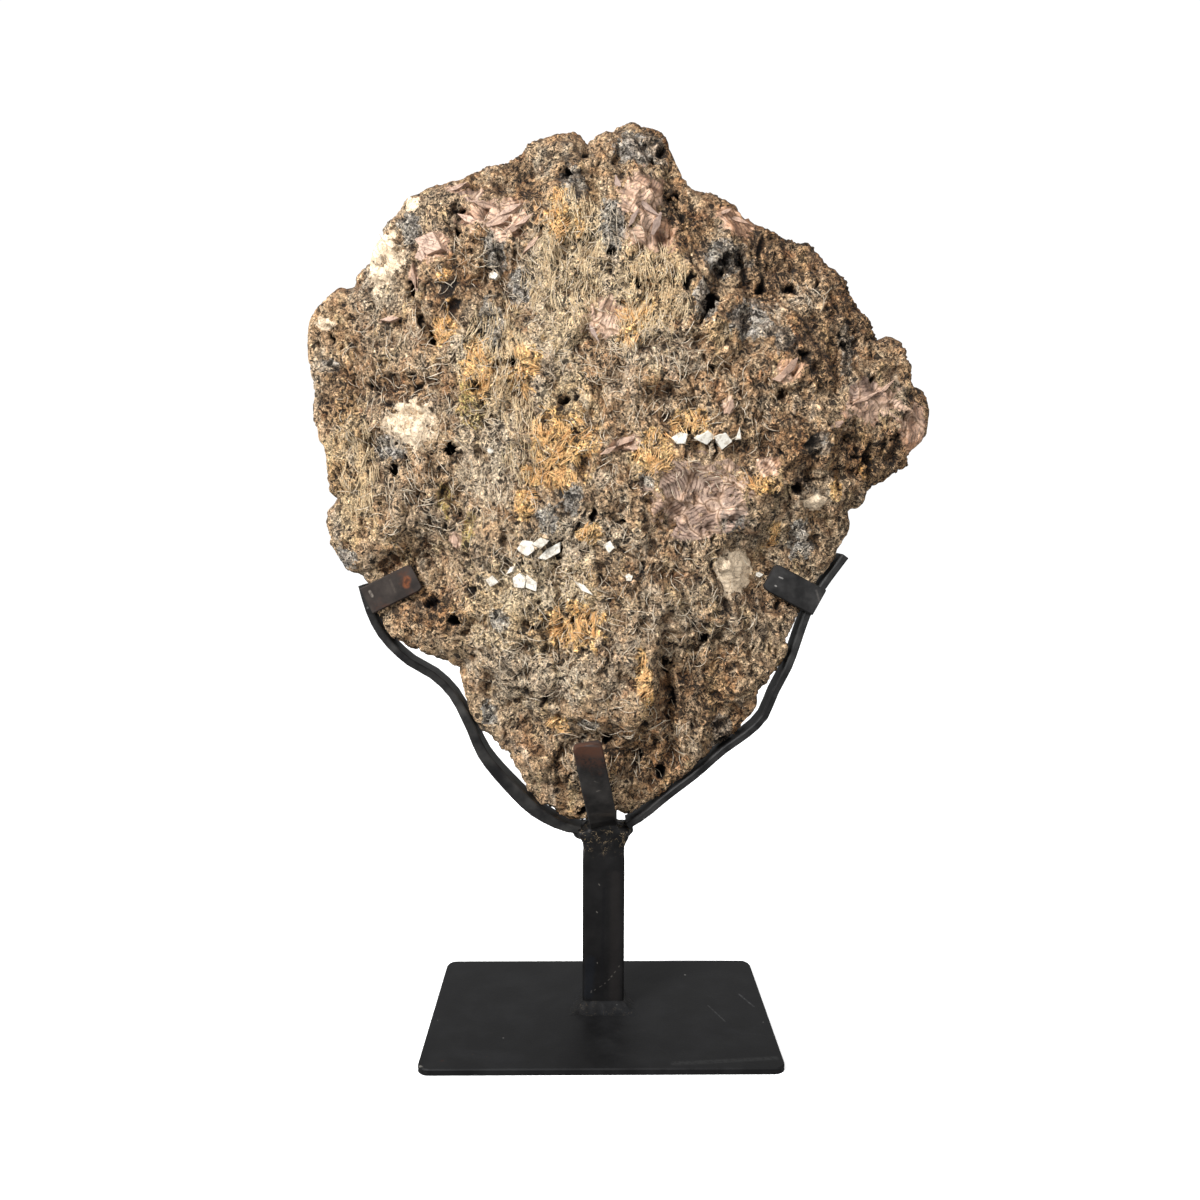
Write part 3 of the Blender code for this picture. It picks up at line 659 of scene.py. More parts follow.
    def build_patina(self) -> bpy.types.NodeTree:
        """Draw waxed black scale on iron: soft mottling, fine scratches, specks and brown bloom.

        Returns:
            The group.
        """
        draft = GroupDraft("iron_patina", {"Vector": "Vector", "Rust": "Float"},
                           {"Mottle": "Float", "Rust": "Float", "Specks": "Float", "Brushing": "Float",
                            "Height": "Float"})
        places = draft.given["Vector"]
        mottle = draft.noise(places, 60.0, 5.0, 0.62)
        bloom = draft.noise(places, 130.0, 5.0, 0.7)
        rust = draft.spread(draft.math("ADD", bloom, draft.given["Rust"]), 0.66, 0.95)
        dots = draft.add("TexVoronoi", {"Vector": places, "Scale": 260.0})
        lot = draft.add("SeparateColor", {"Color": dots.outputs["Color"]}).outputs[0]
        size = draft.spread(lot, 0.93, 1.0, 0.0, 0.16)
        specks = draft.spread(draft.math("SUBTRACT", dots.outputs["Distance"], size), -0.05, 0.0, 1.0, 0.0)
        brushing = draft.noise(draft.enlarge(places, (0.12, 1.0, 1.0)), 1800.0, 3.0, 0.6)
        grain = draft.noise(places, 700.0, 5.0, 0.6)
        height = draft.math("MULTIPLY_ADD", grain, 0.6, draft.times(mottle, 0.4))
        return draft.finish({"Mottle": mottle, "Rust": rust, "Specks": specks, "Brushing": brushing,
                             "Height": height})


def start_material(name: str) -> tuple[bpy.types.Material, Pen, bpy.types.Node, Socket]:
    """Make a material with a Principled shader.

    Args:
        name: The material's name.

    Returns:
        The material, a pen for its tree, its shader and its Object coordinates.
    """
    material = bpy.data.materials.new(name)
    material.use_nodes = True
    pen = Pen(material.node_tree)
    shader = material.node_tree.nodes["Principled BSDF"]
    return material, pen, shader, pen.add("TexCoord").outputs["Object"]


@dataclass(frozen=True)
class RoughAgateFinish:
    """The stone's natural outside: brown porous matrix with patches of other minerals, with painted shade in
    its pits, dents, hollows and on faces turned right and up, and painted highlights on its crests.
    """

    brown: Colour = (0.445, 0.255, 0.122, 1.0)
    tan: Colour = (0.590, 0.392, 0.212, 1.0)
    grey: Colour = (0.370, 0.280, 0.190, 1.0)
    umber: Colour = (0.150, 0.080, 0.038, 1.0)
    shadow: Colour = (0.008, 0.005, 0.003, 1.0)
    thread: Colour = (0.980, 0.830, 0.600, 1.0)
    pink: Colour = (0.470, 0.290, 0.200, 1.0)
    pink_light: Colour = (0.760, 0.530, 0.390, 1.0)
    mauve: Colour = (0.300, 0.205, 0.160, 1.0)
    mauve_light: Colour = (0.480, 0.345, 0.270, 1.0)
    ochre: Colour = (0.700, 0.360, 0.100, 1.0)
    ochre_light: Colour = (1.000, 0.680, 0.290, 1.0)
    ochre_deep: Colour = (0.260, 0.115, 0.035, 1.0)
    pale: Colour = (0.690, 0.580, 0.430, 1.0)
    sand: Colour = (0.700, 0.510, 0.260, 1.0)
    moss: Colour = (0.520, 0.420, 0.110, 1.0)
    slate: Colour = (0.125, 0.125, 0.122, 1.0)
    slate_light: Colour = (0.520, 0.505, 0.470, 1.0)
    cream: Colour = (0.920, 0.740, 0.530, 1.0)
    cream_stain: Colour = (0.520, 0.355, 0.210, 1.0)
    rust: Colour = (0.430, 0.180, 0.065, 1.0)
    plum: Colour = (0.130, 0.080, 0.062, 1.0)
    ash: Colour = (0.500, 0.440, 0.355, 1.0)
    dark_tint: Colour = (0.86, 0.76, 0.66, 1.0)
    dent_shade_tint: Colour = (0.50, 0.43, 0.37, 1.0)
    crest_highlight_tint: Colour = (1.22, 1.18, 1.14, 1.0)
    facing_shade_tint: Colour = (0.38, 0.325, 0.28, 1.0)
    hollow_shade_tint: Colour = (0.07, 0.055, 0.045, 1.0)
    bump: float = 0.0016

    def build(self, effects: SharedEffects) -> bpy.types.Material:
        """Draw the material.

        Args:
            effects: The shared node groups.

        Returns:
            The finished material.
        """
        material, pen, shader, places = start_material("rough_agate")
        porous = pen.attribute("porous")
        foam = pen.group(effects.foam, {"Vector": places, "Openness": porous}).outputs
        masks = {}
        for mineral in Mineral:
            feeds = {"Inside": pen.attribute(mineral.value), "Vector": places, "Reach": 0.28}
            masks[mineral] = pen.group(effects.ragged, feeds).outputs["Mask"]
        plates = pen.group(effects.plates, {"Vector": places, "Size": 75.0, "Lines": 3700.0}).outputs
        needles = pen.group(effects.fibres, {"Vector": places, "Size": 130.0}).outputs["Needles"]

        broad = pen.spread(pen.noise(places, 30.0, 4.0, 0.6), 0.36, 0.62)
        middling = pen.spread(pen.noise(places, 120.0, 4.0, 0.65), 0.38, 0.62)
        small = pen.spread(pen.noise(places, 300.0, 5.0, 0.72), 0.36, 0.60)
        colour = pen.mix(broad, self.brown, self.grey)
        colour = pen.mix(pen.times(middling, 0.70), colour, self.tan)
        colour = pen.mix(pen.math("MULTIPLY_ADD", small, -0.42, 0.42), colour, self.umber)
        stain = pen.spread(pen.noise(places, 75.0, 5.0, 0.7, 0.6), 0.55, 0.68)
        colour = pen.mix(pen.times(stain, 0.50), colour, self.rust)
        colour = pen.mix(pen.times(masks[Mineral.PALE], 0.50), colour, self.pale)
        colour = pen.mix(pen.times(masks[Mineral.SAND], 0.40), colour, self.sand)
        running = pen.stir(pen.enlarge(places, (1.0, 1.0, 0.30)), 60.0, 0.010)
        streaks = pen.noise(running, 130.0, 4.0, 0.65)
        colour = pen.mix(pen.spread(streaks, 0.54, 0.66, 0.0, 0.45), colour, self.ash)
        colour = pen.mix(pen.spread(streaks, 0.34, 0.44, 0.45, 0.0), colour, self.sand)

        blue = pen.spread(pen.noise(places, 330.0, 4.0, 0.75), 0.42, 0.62)
        slate = pen.mix(blue, self.slate, self.slate_light)
        colour = pen.mix(pen.times(masks[Mineral.SLATE], 0.80), colour, slate)
        moss = pen.mix(needles, self.ochre_deep, self.moss)
        colour = pen.mix(pen.times(masks[Mineral.MOSS], 0.80), colour, moss)
        gold = pen.mix(needles, self.ochre, self.ochre_light)
        worn = pen.spread(pen.noise(places, 420.0, 3.0, 0.6), 0.38, 0.54, 0.8, 0.0)
        gold = pen.mix(worn, gold, self.ochre_deep)
        colour = pen.mix(pen.times(masks[Mineral.OCHRE], 0.90), colour, gold)

        thread_share = pen.times(foam["Threads"], pen.spread(foam["Grit"], 0.35, 0.6, 0.35, 0.95))
        lit = pen.mix(1.0, colour, pen.grey(2.1), "MULTIPLY")
        colour = pen.mix(thread_share, colour, pen.mix(0.48, lit, self.thread))
        grit = pen.spread(foam["Grit"], 0.34, 0.66, 0.48, 1.46)
        colour = pen.mix(1.0, colour, pen.grey(grit), "MULTIPLY")

        tight = pen.math("MAXIMUM", masks[Mineral.PINK], pen.math("MAXIMUM", masks[Mineral.MAUVE],
                                                                    masks[Mineral.CREAM]))
        pit = pen.times(foam["Pits"], pen.math("MULTIPLY_ADD", tight, -0.9, 1.0))
        colour = pen.mix(pen.times(pit, 0.92), colour, self.shadow)

        speck = pen.spread(foam["Grit"], 0.26, 0.40, 0.70, 0.0)
        worn = pen.spread(pen.noise(places, 300.0, 4.0, 0.7), 0.60, 0.64, 0.0, 0.8)
        crystals = (
            (Mineral.PINK, self.pink, self.pink_light, self.mauve, 0.95),
            (Mineral.MAUVE, self.mauve, self.mauve_light, self.plum, 0.95),
        )
        for mineral, dark, light, drawn, share in crystals:
            plate = pen.mix(plates["Tone"], dark, light)
            plate = pen.mix(pen.times(plates["Lines"], 0.85), plate, drawn)
            plate = pen.mix(pen.times(plates["Border"], 0.55), plate, self.pink_light)
            plate = pen.mix(pen.times(plates["Edge"], 0.80), plate, self.umber)
            plate = pen.mix(speck, plate, self.umber)
            shown = pen.times(masks[mineral], pen.math("SUBTRACT", share, worn))
            colour = pen.mix(pen.math("MAXIMUM", shown, 0.0), colour, plate)

        colour = pen.mix(masks[Mineral.DARK], colour, self.dark_tint, "MULTIPLY")
        # Painted shade in dents and a painted highlight on crests, by how far each point stands in or out.
        dent = pen.spread(pen.attribute("crest"), -1.0, -0.15, 1.0, 0.0)
        colour = pen.mix(dent, colour, self.dent_shade_tint, "MULTIPLY")
        crest = pen.spread(pen.attribute("crest"), 0.15, 0.9)
        colour = pen.mix(crest, colour, self.crest_highlight_tint, "MULTIPLY")
        # Painted shade: faces turned right and upward are darkened as if turned away from the light.
        facing_shade = pen.spread(pen.attribute("facing_shade"), 0.15, 0.80)
        colour = pen.mix(facing_shade, colour, self.facing_shade_tint, "MULTIPLY")
        # Painted shade: cells and holes are darkened by how deep they are.
        hollow = pen.spread(pen.attribute("hollow"), 0.16, 0.80)
        colour = pen.mix(hollow, colour, self.hollow_shade_tint, "MULTIPLY")
        veins = pen.spread(pen.noise(places, 420.0, 5.0, 0.75), 0.52, 0.68)
        cream = pen.mix(veins, self.cream, self.cream_stain)
        seams = pen.threads(pen.stir(places, 400.0, 0.002), 150.0, 0.016)
        cream = pen.mix(pen.times(seams, 0.6), cream, self.umber)
        colour = pen.mix(pen.times(masks[Mineral.CREAM], 0.92), colour, cream)
        pen.feed(shader.inputs["Base Color"], colour)

        rough = pen.math("MULTIPLY_ADD", tight, -0.30, 0.90)
        pen.feed(shader.inputs["Roughness"], rough)
        shader.inputs["Specular IOR Level"].default_value = 0.35
        height = pen.math("MULTIPLY_ADD", foam["Threads"], 0.35, pen.times(foam["Grit"], 0.5))
        height = pen.math("SUBTRACT", height, pen.times(pit, 1.3))
        height = pen.times(height, pen.math("MULTIPLY_ADD", tight, -0.70, 1.0))
        lined = pen.times(tight, pen.times(plates["Lines"], 0.30))
        height = pen.math("ADD", height, lined)
        bump = pen.add("Bump", {"Strength": 1.0, "Distance": self.bump, "Height": height})
        pen.feed(shader.inputs["Normal"], bump.outputs["Normal"])
        return material


@dataclass(frozen=True)
class PolishedAgateFinish:
    """The sawn and polished back: fortification bands that follow the stone's outline."""

    bump: float = 0.00002
    roughness: float = 0.09
    coat: float = 0.6
    stops: tuple[tuple[float, Colour], ...] = (
        (0.00, (0.230, 0.130, 0.070, 1.0)), (0.05, (0.420, 0.250, 0.130, 1.0)),
        (0.10, (0.130, 0.075, 0.045, 1.0)),
        (0.14, (0.520, 0.370, 0.240, 1.0)), (0.20, (0.300, 0.180, 0.110, 1.0)),
        (0.24, (0.700, 0.580, 0.440, 1.0)),
        (0.29, (0.380, 0.300, 0.250, 1.0)), (0.35, (0.220, 0.215, 0.225, 1.0)),
        (0.40, (0.560, 0.545, 0.530, 1.0)),
        (0.45, (0.300, 0.300, 0.320, 1.0)), (0.52, (0.740, 0.700, 0.640, 1.0)),
        (0.57, (0.420, 0.400, 0.400, 1.0)),
        (0.64, (0.250, 0.250, 0.270, 1.0)), (0.70, (0.600, 0.590, 0.570, 1.0)),
        (0.78, (0.380, 0.340, 0.310, 1.0)),
        (0.88, (0.660, 0.620, 0.560, 1.0)), (1.00, (0.780, 0.750, 0.700, 1.0)),
    )
    quartz: Colour = (0.720, 0.690, 0.640, 1.0)

    def build(self, effects: SharedEffects) -> bpy.types.Material:
        """Draw the material.

        Args:
            effects: The shared node groups.

        Returns:
            The finished material.
        """
        material, pen, shader, places = start_material("polished_agate")
        depth = pen.attribute("rim_gap")
        wander = pen.times(pen.math("SUBTRACT", pen.noise(places, 22.0, 2.0, 0.45), 0.5), 30.0)
        shiver = pen.times(pen.math("SUBTRACT", pen.noise(places, 150.0, 3.0, 0.5), 0.5), 3.0)
        bands = pen.math("ADD", depth, pen.math("ADD", wander, shiver))
        share = pen.math("DIVIDE", bands, 78.0)
        colour = pen.ramp(share, self.stops)
        fine = pen.math("SINE", pen.times(bands, 4.4))
        finer = pen.math("SINE", pen.times(bands, 1.7))
        lines = pen.spread(pen.math("ADD", fine, finer), -1.6, 1.6, 0.76, 1.18)
        colour = pen.mix(1.0, colour, pen.grey(lines), "MULTIPLY")
        crystals = pen.add("TexVoronoi", {"Vector": pen.stir(places, 90.0, 0.003), "Scale": 190.0})
        heart = pen.spread(bands, 64.0, 67.0)
        facets = pen.mix(crystals.outputs["Distance"], self.quartz, (0.42, 0.40, 0.38, 1.0))
        colour = pen.mix(heart, colour, facets)
        plates = pen.group(effects.plates, {"Vector": places, "Size": 40.0, "Lines": 900.0}).outputs
        veil = pen.times(plates["Tone"], 0.16)
        colour = pen.mix(veil, colour, (0.300, 0.170, 0.090, 1.0))
        skin = pen.spread(depth, 1.2, 3.6, 0.85, 0.0)
        colour = pen.mix(skin, colour, (0.120, 0.080, 0.055, 1.0))
        pen.feed(shader.inputs["Base Color"], colour)
        cloud = pen.noise(places, 40.0, 3.0, 0.6)
        haze = pen.spread(cloud, 0.3, 0.8, self.roughness, self.roughness + 0.06)
        pen.feed(shader.inputs["Roughness"], haze)
        shader.inputs["IOR"].default_value = 1.54
        shader.inputs["Coat Weight"].default_value = self.coat
        shader.inputs["Coat Roughness"].default_value = 0.03
        ripple = pen.add("Bump", {"Strength": 0.4, "Distance": self.bump, "Height": lines})
        pen.feed(shader.inputs["Normal"], ripple.outputs["Normal"])
        return material


@dataclass(frozen=True)
class Stroke:
    """A scratch, streak or rubbed place: two ends and a half width in millimetres, and its colour."""

    start: Point
    end: Point
    width: float
    colour: Colour = (0.30, 0.29, 0.28, 1.0)
    strength: float = 0.6
    breaks: float = 0.6


@dataclass(frozen=True)
class IronFinish:
    """Blackened and waxed iron, with the marks that one piece of it bears."""

    name: str
    black: Colour = (0.0090, 0.0088, 0.0090, 1.0)
    worn: Colour = (0.024, 0.0235, 0.0235, 1.0)
    brown: Colour = (0.095, 0.036, 0.018, 1.0)
    speck: Colour = (0.30, 0.29, 0.27, 1.0)
    fleck: Colour = (0.220, 0.165, 0.100, 1.0)
    roughness: float = 0.47
    metallic: float = 0.35
    rust: float = 0.0
    specks: float = 0.10
    bump: float = 0.00012
    specular: float = 0.22
    flecks: float = 0.0
    fleck_foot: float = -10.0
    strokes: tuple[Stroke, ...] = ()

    def build(self, effects: SharedEffects) -> bpy.types.Material:
        """Draw the material.

        Args:
            effects: The shared node groups.

        Returns:
            The finished material.
        """
        material, pen, shader, places = start_material(self.name)
        patina = pen.group(effects.patina, {"Vector": places, "Rust": self.rust}).outputs
        colour = pen.mix(pen.spread(patina["Mottle"], 0.35, 0.75), self.black, self.worn)
        colour = pen.mix(pen.times(patina["Rust"], 0.8), colour, self.brown)
        brushed = pen.spread(patina["Brushing"], 0.62, 0.8, 0.0, 0.18)
        colour = pen.mix(brushed, colour, self.worn)
        rubbed = None
        for stroke in self.strokes:
            feeds = {"Vector": places, "Start": tuple(MM * value for value in stroke.start),
                     "End": tuple(MM * value for value in stroke.end), "Width": MM * stroke.width,
                     "Breaks": stroke.breaks}
            mask = pen.times(pen.group(effects.stroke, feeds).outputs["Mask"], stroke.strength)
            colour = pen.mix(mask, colour, stroke.colour)
            rubbed = mask if rubbed is None else pen.math("MAXIMUM", rubbed, mask)
        colour = pen.mix(pen.times(patina["Specks"], self.specks), colour, self.speck)
        if self.flecks > 0.0:
            curls = pen.threads(pen.stir(places, 500.0, 0.002), 420.0, 0.030)
            here = pen.spread(pen.noise(places, 260.0, 3.0, 0.6), 0.47, 0.62, 0.0, self.flecks)
            height = pen.add("SeparateXYZ", {"Vector": places}).outputs["Z"]
            above = pen.spread(height, (self.fleck_foot - 4.0) * MM, (self.fleck_foot + 6.0) * MM)
            here = pen.times(here, above)
            colour = pen.mix(pen.times(curls, here), colour, self.fleck)
        pen.feed(shader.inputs["Base Color"], colour)
        rough = pen.spread(patina["Mottle"], 0.3, 0.75, self.roughness - 0.05, self.roughness + 0.10)
        rough = pen.math("MULTIPLY_ADD", patina["Rust"], 0.25, rough)
        if rubbed is not None:
            rough = pen.math("MULTIPLY_ADD", rubbed, 0.2, rough)
        pen.feed(shader.inputs["Roughness"], rough)
        shader.inputs["Metallic"].default_value = self.metallic
        shader.inputs["Specular IOR Level"].default_value = self.specular
        bump = pen.add("Bump", {"Strength": 0.55, "Distance": self.bump, "Height": patina["Height"]})
        pen.feed(shader.inputs["Normal"], bump.outputs["Normal"])
        return material


@dataclass(frozen=True)
class ChipFinish:
    """Clean crystal: chips, plates or needles that each have a tone and a way of their lines."""

    name: str
    dark: Colour
    light: Colour
    stain: Colour
    lines: float = 0.0
    dirt: float = 0.5
    roughness: float = 0.5

    def build(self, effects: SharedEffects) -> bpy.types.Material:
        """Draw the material.

        Args:
            effects: The shared node groups.

        Returns:
            The finished material.
        """
        material, pen, shader, places = start_material(self.name)
        way = pen.attribute("way")
        axis = pen.add("CombineXYZ", {"X": pen.math("COSINE", way), "Z": pen.math("SINE", way)})
        stirred = pen.stir(places, 240.0, 0.0012)
        along = pen.measure("DOT_PRODUCT", stirred, axis.outputs["Vector"])
        wave = pen.noise(pen.add("CombineXYZ", {"X": along}).outputs["Vector"], 1200.0, 2.0, 0.6)
        lines = pen.times(pen.spread(wave, 0.50, 0.60), self.lines)
        groove = pen.times(pen.spread(wave, 0.30, 0.40, 1.0, 0.0), self.lines)
        dirt = pen.spread(pen.noise(places, 420.0, 5.0, 0.7), 0.46, 0.66, 0.0, self.dirt)
        colour = pen.mix(pen.attribute("tone"), self.dark, self.light)
        colour = pen.mix(lines, colour, self.light)
        colour = pen.mix(groove, colour, self.stain)
        colour = pen.mix(dirt, colour, self.stain)
        cracks = pen.threads(pen.stir(places, 500.0, 0.002), 170.0, 0.012)
        colour = pen.mix(pen.times(cracks, 0.55), colour, self.stain)
        pen.feed(shader.inputs["Base Color"], colour)
        pen.feed(shader.inputs["Roughness"], pen.math("MULTIPLY_ADD", dirt, 0.3, self.roughness))
        height = pen.math("SUBTRACT", pen.noise(places, 900.0, 4.0, 0.6), pen.times(groove, 0.6))
        height = pen.math("SUBTRACT", height, cracks)
        bump = pen.add("Bump", {"Strength": 0.7, "Distance": 0.0004, "Height": height})
        pen.feed(shader.inputs["Normal"], bump.outputs["Normal"])
        return material


def select_only(item: bpy.types.Object) -> None:
    """Deselect everything, then select and activate one object."""
    bpy.ops.object.select_all(action="DESELECT")
    item.select_set(True)
    bpy.context.view_layer.objects.active = item


def read_points(mesh: bpy.types.Mesh, kind: str = "co") -> np.ndarray:
    """Read a mesh's points or its point normals.

    Args:
        mesh: The mesh.
        kind: What to read, co for points or normal for normals.

    Returns:
        Rows of three numbers.
    """
    source = mesh.vertices if kind == "co" else mesh.vertex_normals
    flat = np.empty(3 * len(mesh.vertices), dtype=np.float32)
    source.foreach_get("co" if kind == "co" else "vector", flat)
    return flat.reshape(-1, 3).astype(float)


def write_points(mesh: bpy.types.Mesh, points: np.ndarray) -> None:
    """Move a mesh's points."""
    mesh.vertices.foreach_set("co", points.astype(np.float32).ravel())
    mesh.update()


def keep_number(mesh: bpy.types.Mesh, name: str, values: np.ndarray) -> None:
    """Keep one number at each point of a mesh, for its material to read."""
    mesh.attributes.new(name, "FLOAT", "POINT").data.foreach_set("value", values.astype(np.float32))


def copy_node(node: str, name: str) -> bpy.types.Object:
    """Copy a CAD node's object and mesh, and merge the copy's loose triangles.

    Args:
        node: The CAD node.
        name: The copy's name.

    Returns:
        The copy, selected and active.
    """
    item = frame["nodes"][node].copy()
    item.data = frame["nodes"][node].data.copy()
    item.name = name
    item.parent = None
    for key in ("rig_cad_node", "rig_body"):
        if key in item:
            del item[key]
    bpy.context.scene.collection.objects.link(item)
    item.data.materials.clear()
    for attribute in [entry.name for entry in item.data.attributes if entry.name.startswith("custom_normal")]:
        item.data.attributes.remove(item.data.attributes[attribute])
    select_only(item)
    bpy.ops.object.mode_set(mode="EDIT")
    bpy.ops.mesh.select_all(action="SELECT")
    bpy.ops.mesh.remove_doubles(threshold=0.00001)
    bpy.ops.object.mode_set(mode="OBJECT")
    return item


def select_faces(item: bpy.types.Object, wanted: np.ndarray) -> None:
    """Select the marked faces of an object in edit mode, and nothing else.

    Args:
        item: The object.
        wanted: True for each face to select.
    """
    bpy.ops.object.mode_set(mode="EDIT")
    bpy.ops.mesh.select_mode(type="FACE")
    bpy.ops.mesh.select_all(action="DESELECT")
    bpy.ops.object.mode_set(mode="OBJECT")
    item.data.polygons.foreach_set("select", wanted.astype(bool))
    bpy.ops.object.mode_set(mode="EDIT")


@dataclass
class RoughStone:
    """The agate: a rough, porous outside and a flat polished back, in one closed mesh."""

    cuts: int = 5
    soften: float = 0.5
    most_faces: int = 180000
    back_lattice: float = 5.0
    back_margin: float = 0.4
    clearance: float = 0.3
    deepest: float = 3.6
    crest_reach: float = 1.1
    crest_rounds: int = 24
    foams: tuple[tuple[Foam, float], ...] = (
        (Foam(6.4, 2.8, 0.12, 11), 0.30), (Foam(3.6, 2.0, 0.36, 23), 0.25),
        (Foam(2.1, 1.4, 0.55, 37), 0.20),
    )
    broad_swell: float = 1.7
    small_swell: float = 1.2
    fine_swell: float = 0.70
    base_swell: float = 1.0
    cream_swell: float = 3.2
    still_edge: float = 1.8
    iron_reach: float = 4.0

    def build(self, effects: SharedEffects) -> bpy.types.Object:
        """Build and dress the stone.

        Args:
            effects: The shared node groups.

        Returns:
            The stone's object.
        """
        item = copy_node("stone", "agate_stone")
        low, high = (np.array(corner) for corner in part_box("stone"))
        self.open_back(item, high[1])
        self.refine(item)
        self.roughen(item, low, high)
        self.thin_out(item)
        self.close_back(item, high[1])
        self.mark(item, high[1])
        self.dress(item, effects, high[1])
        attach(item, BODY)
        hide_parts("stone")
        return item

    def open_back(self, item: bpy.types.Object, back: float) -> None:
        """Take off the flat back, so that the rough skin can be worked alone.

        Args:
            item: The stone.
            back: Where the flat face lies, in metres.
        """
        centres = np.array([face.center for face in item.data.polygons])
        select_faces(item, centres[:, 1] > back - 0.02 * MM)
        bpy.ops.mesh.delete(type="FACE")
        bpy.ops.object.mode_set(mode="OBJECT")

    def refine(self, item: bpy.types.Object) -> None:
        """Cut the skin finely and soften the CAD model's flat facets."""
        bpy.ops.object.mode_set(mode="EDIT")
        bpy.ops.mesh.select_all(action="SELECT")
        bpy.ops.mesh.subdivide(number_cuts=self.cuts, smoothness=0.0)
        bpy.ops.mesh.vertices_smooth(factor=self.soften, repeat=6)
        bpy.ops.object.mode_set(mode="OBJECT")

    def thin_out(self, item: bpy.types.Object) -> None:
        """Merge the least needed faces, so that the skin keeps within its limit.

        Args:
            item: The stone.
        """
        faces = len(item.data.polygons)
        LOG.info("the skin has %d faces before it is thinned", faces)
        modifier = item.modifiers.new("thin", "DECIMATE")
        modifier.ratio = min(1.0, self.most_faces / faces)
        select_only(item)
        bpy.ops.object.modifier_apply(modifier="thin")

    def roughen(self, item: bpy.types.Object, low: np.ndarray, high: np.ndarray) -> None:
        """Sink cells and cracks into the skin and raise its grain.

        Args:
            item: The stone.
            low: Lowest corner of the CAD solid, in metres.
            high: Highest corner of the CAD solid, in metres.
        """
        mesh = item.data
        start = read_points(mesh)
        edge = self.edge_points(mesh)
        start[edge, 1] = high[1]
        normals = read_points(mesh, "normal")
        places = start / MM
        tight = self.tightness(places)
        porous = self.porosity(places)
        flow = Grain(26.0, 2.0).stir(places, 12.0) * np.array([1.0, 1.0, 0.62])
        stirred = Grain(2.2, 1.0).stir(Grain(6.0, 3.0).stir(flow, 2.6), 0.9)
        cells = np.zeros(len(places))
        for foam, opening in self.foams:
            cells = np.maximum(cells, foam.hollow(stirred, opening * porous))
        swell = self.broad_swell * Grain(12.0, 7.0).over(flow) + self.small_swell * Grain(5.0, 5.0).over(flow)
        swell += self.fine_swell * Grain(2.2, 9.0).over(flow) + self.base_swell
        holes = np.zeros(len(places))
        ragged = Grain(1.4, 6.0).stir(Grain(2.8, 8.0).stir(places, 2.2), 0.9)
        front = normals[:, 1] < 0.2
        for spot in HOLES:
            share = np.clip(1.9 * (spot.inside(ragged) - 0.12), 0.0, 1.0) * front
            holes = np.maximum(holes, share * min(spot.width, spot.height) * 1.3)
        facets = Shards(6.5, 0.5, 71).lift(places)
        for spot in PATCHES[Mineral.CREAM]:
            swell += self.cream_swell * np.clip(2.4 * spot.inside(places), 0.0, 1.0)
        sunk = (1.0 - 0.9 * tight) * cells
        lift = swell * (1.0 - 0.6 * tight) + 0.7 * tight * facets - sunk - holes
        near_back = np.clip((high[1] - start[:, 1]) / (self.still_edge * MM), 0.0, 1.0)
        lift *= near_back
        lift = self.hold_off(start, lift)
        moved = start + normals * (lift * MM)[:, None]
        moved = np.clip(moved, low, high)
        moved[edge] = start[edge]
        write_points(mesh, moved)
        # The depth of cells and holes, kept for the material to paint shade into.
        hollow = np.clip((sunk + 0.95 * holes) / self.deepest, 0.0, 1.0) * near_back
        keep_number(mesh, "hollow", hollow)
        # How far each point stands out, for the material to paint shade in dents and highlights on crests.
        keep_number(mesh, "crest", self.crests(mesh) * near_back)

    def crests(self, mesh: bpy.types.Mesh) -> np.ndarray:
        """Measure how far each point stands out from its surroundings.

        Args:
            mesh: The roughened skin.

        Returns:
            A number from -1 in a dent to 1 on a crest for each point.
        """
        pairs = np.empty(2 * len(mesh.edges), dtype=np.int32)
        mesh.edges.foreach_get("vertices", pairs)
        ends = pairs.reshape(-1, 2)
        starts = np.concatenate([ends[:, 0], ends[:, 1]])
        others = np.concatenate([ends[:, 1], ends[:, 0]])
        points = read_points(mesh)
        count = np.maximum(np.bincount(starts, minlength=len(points)), 1)
        blurred = points.copy()
        for _ in range(self.crest_rounds):
            blurred = np.column_stack([
                np.bincount(starts, weights=blurred[others, axis], minlength=len(points)) / count
                for axis in range(3)
            ])
        proud = ((points - blurred) * read_points(mesh, "normal")).sum(axis=1)
        return np.clip(proud / MM / self.crest_reach, -1.0, 1.0)

    def porosity(self, places: np.ndarray) -> np.ndarray:
        """Measure how open the matrix is.

        Args:
            places: Rows of x, y and z in millimetres.

        Returns:
            A number from about -1 where it is tight to 1 where it is torn for each place.
        """
        result = 0.7 * Grain(22.0, 12.0).over(places)
        for spot in PATCHES[Mineral.DARK]:
            result = np.maximum(result, np.clip(2.0 * spot.inside(places) + 0.2, -1.0, 1.0))
        return result

    def edge_points(self, mesh: bpy.types.Mesh) -> np.ndarray:
        """Find the points on the open edge, where the polished back begins.

        Args:
            mesh: The skin.

        Returns:
            The points' numbers.
        """
        shape = bmesh.new()
        shape.from_mesh(mesh)
        edge = [point.index for point in shape.verts if point.is_boundary]
        shape.free()
        return np.array(edge)

    def tightness(self, places: np.ndarray) -> np.ndarray:
        """Measure how free of pores the stone is.

        Args:
            places: Rows of x, y and z in millimetres.

        Returns:
            A number from 0 in the matrix to 1 in a crystal patch for each place.
        """
        result = np.zeros(len(places))
        for mineral in (Mineral.PINK, Mineral.MAUVE, Mineral.CREAM):
            for spot in PATCHES[mineral]:
                result = np.maximum(result, np.clip(3.0 * spot.inside(places) + 0.3, 0.0, 1.0))
        return result

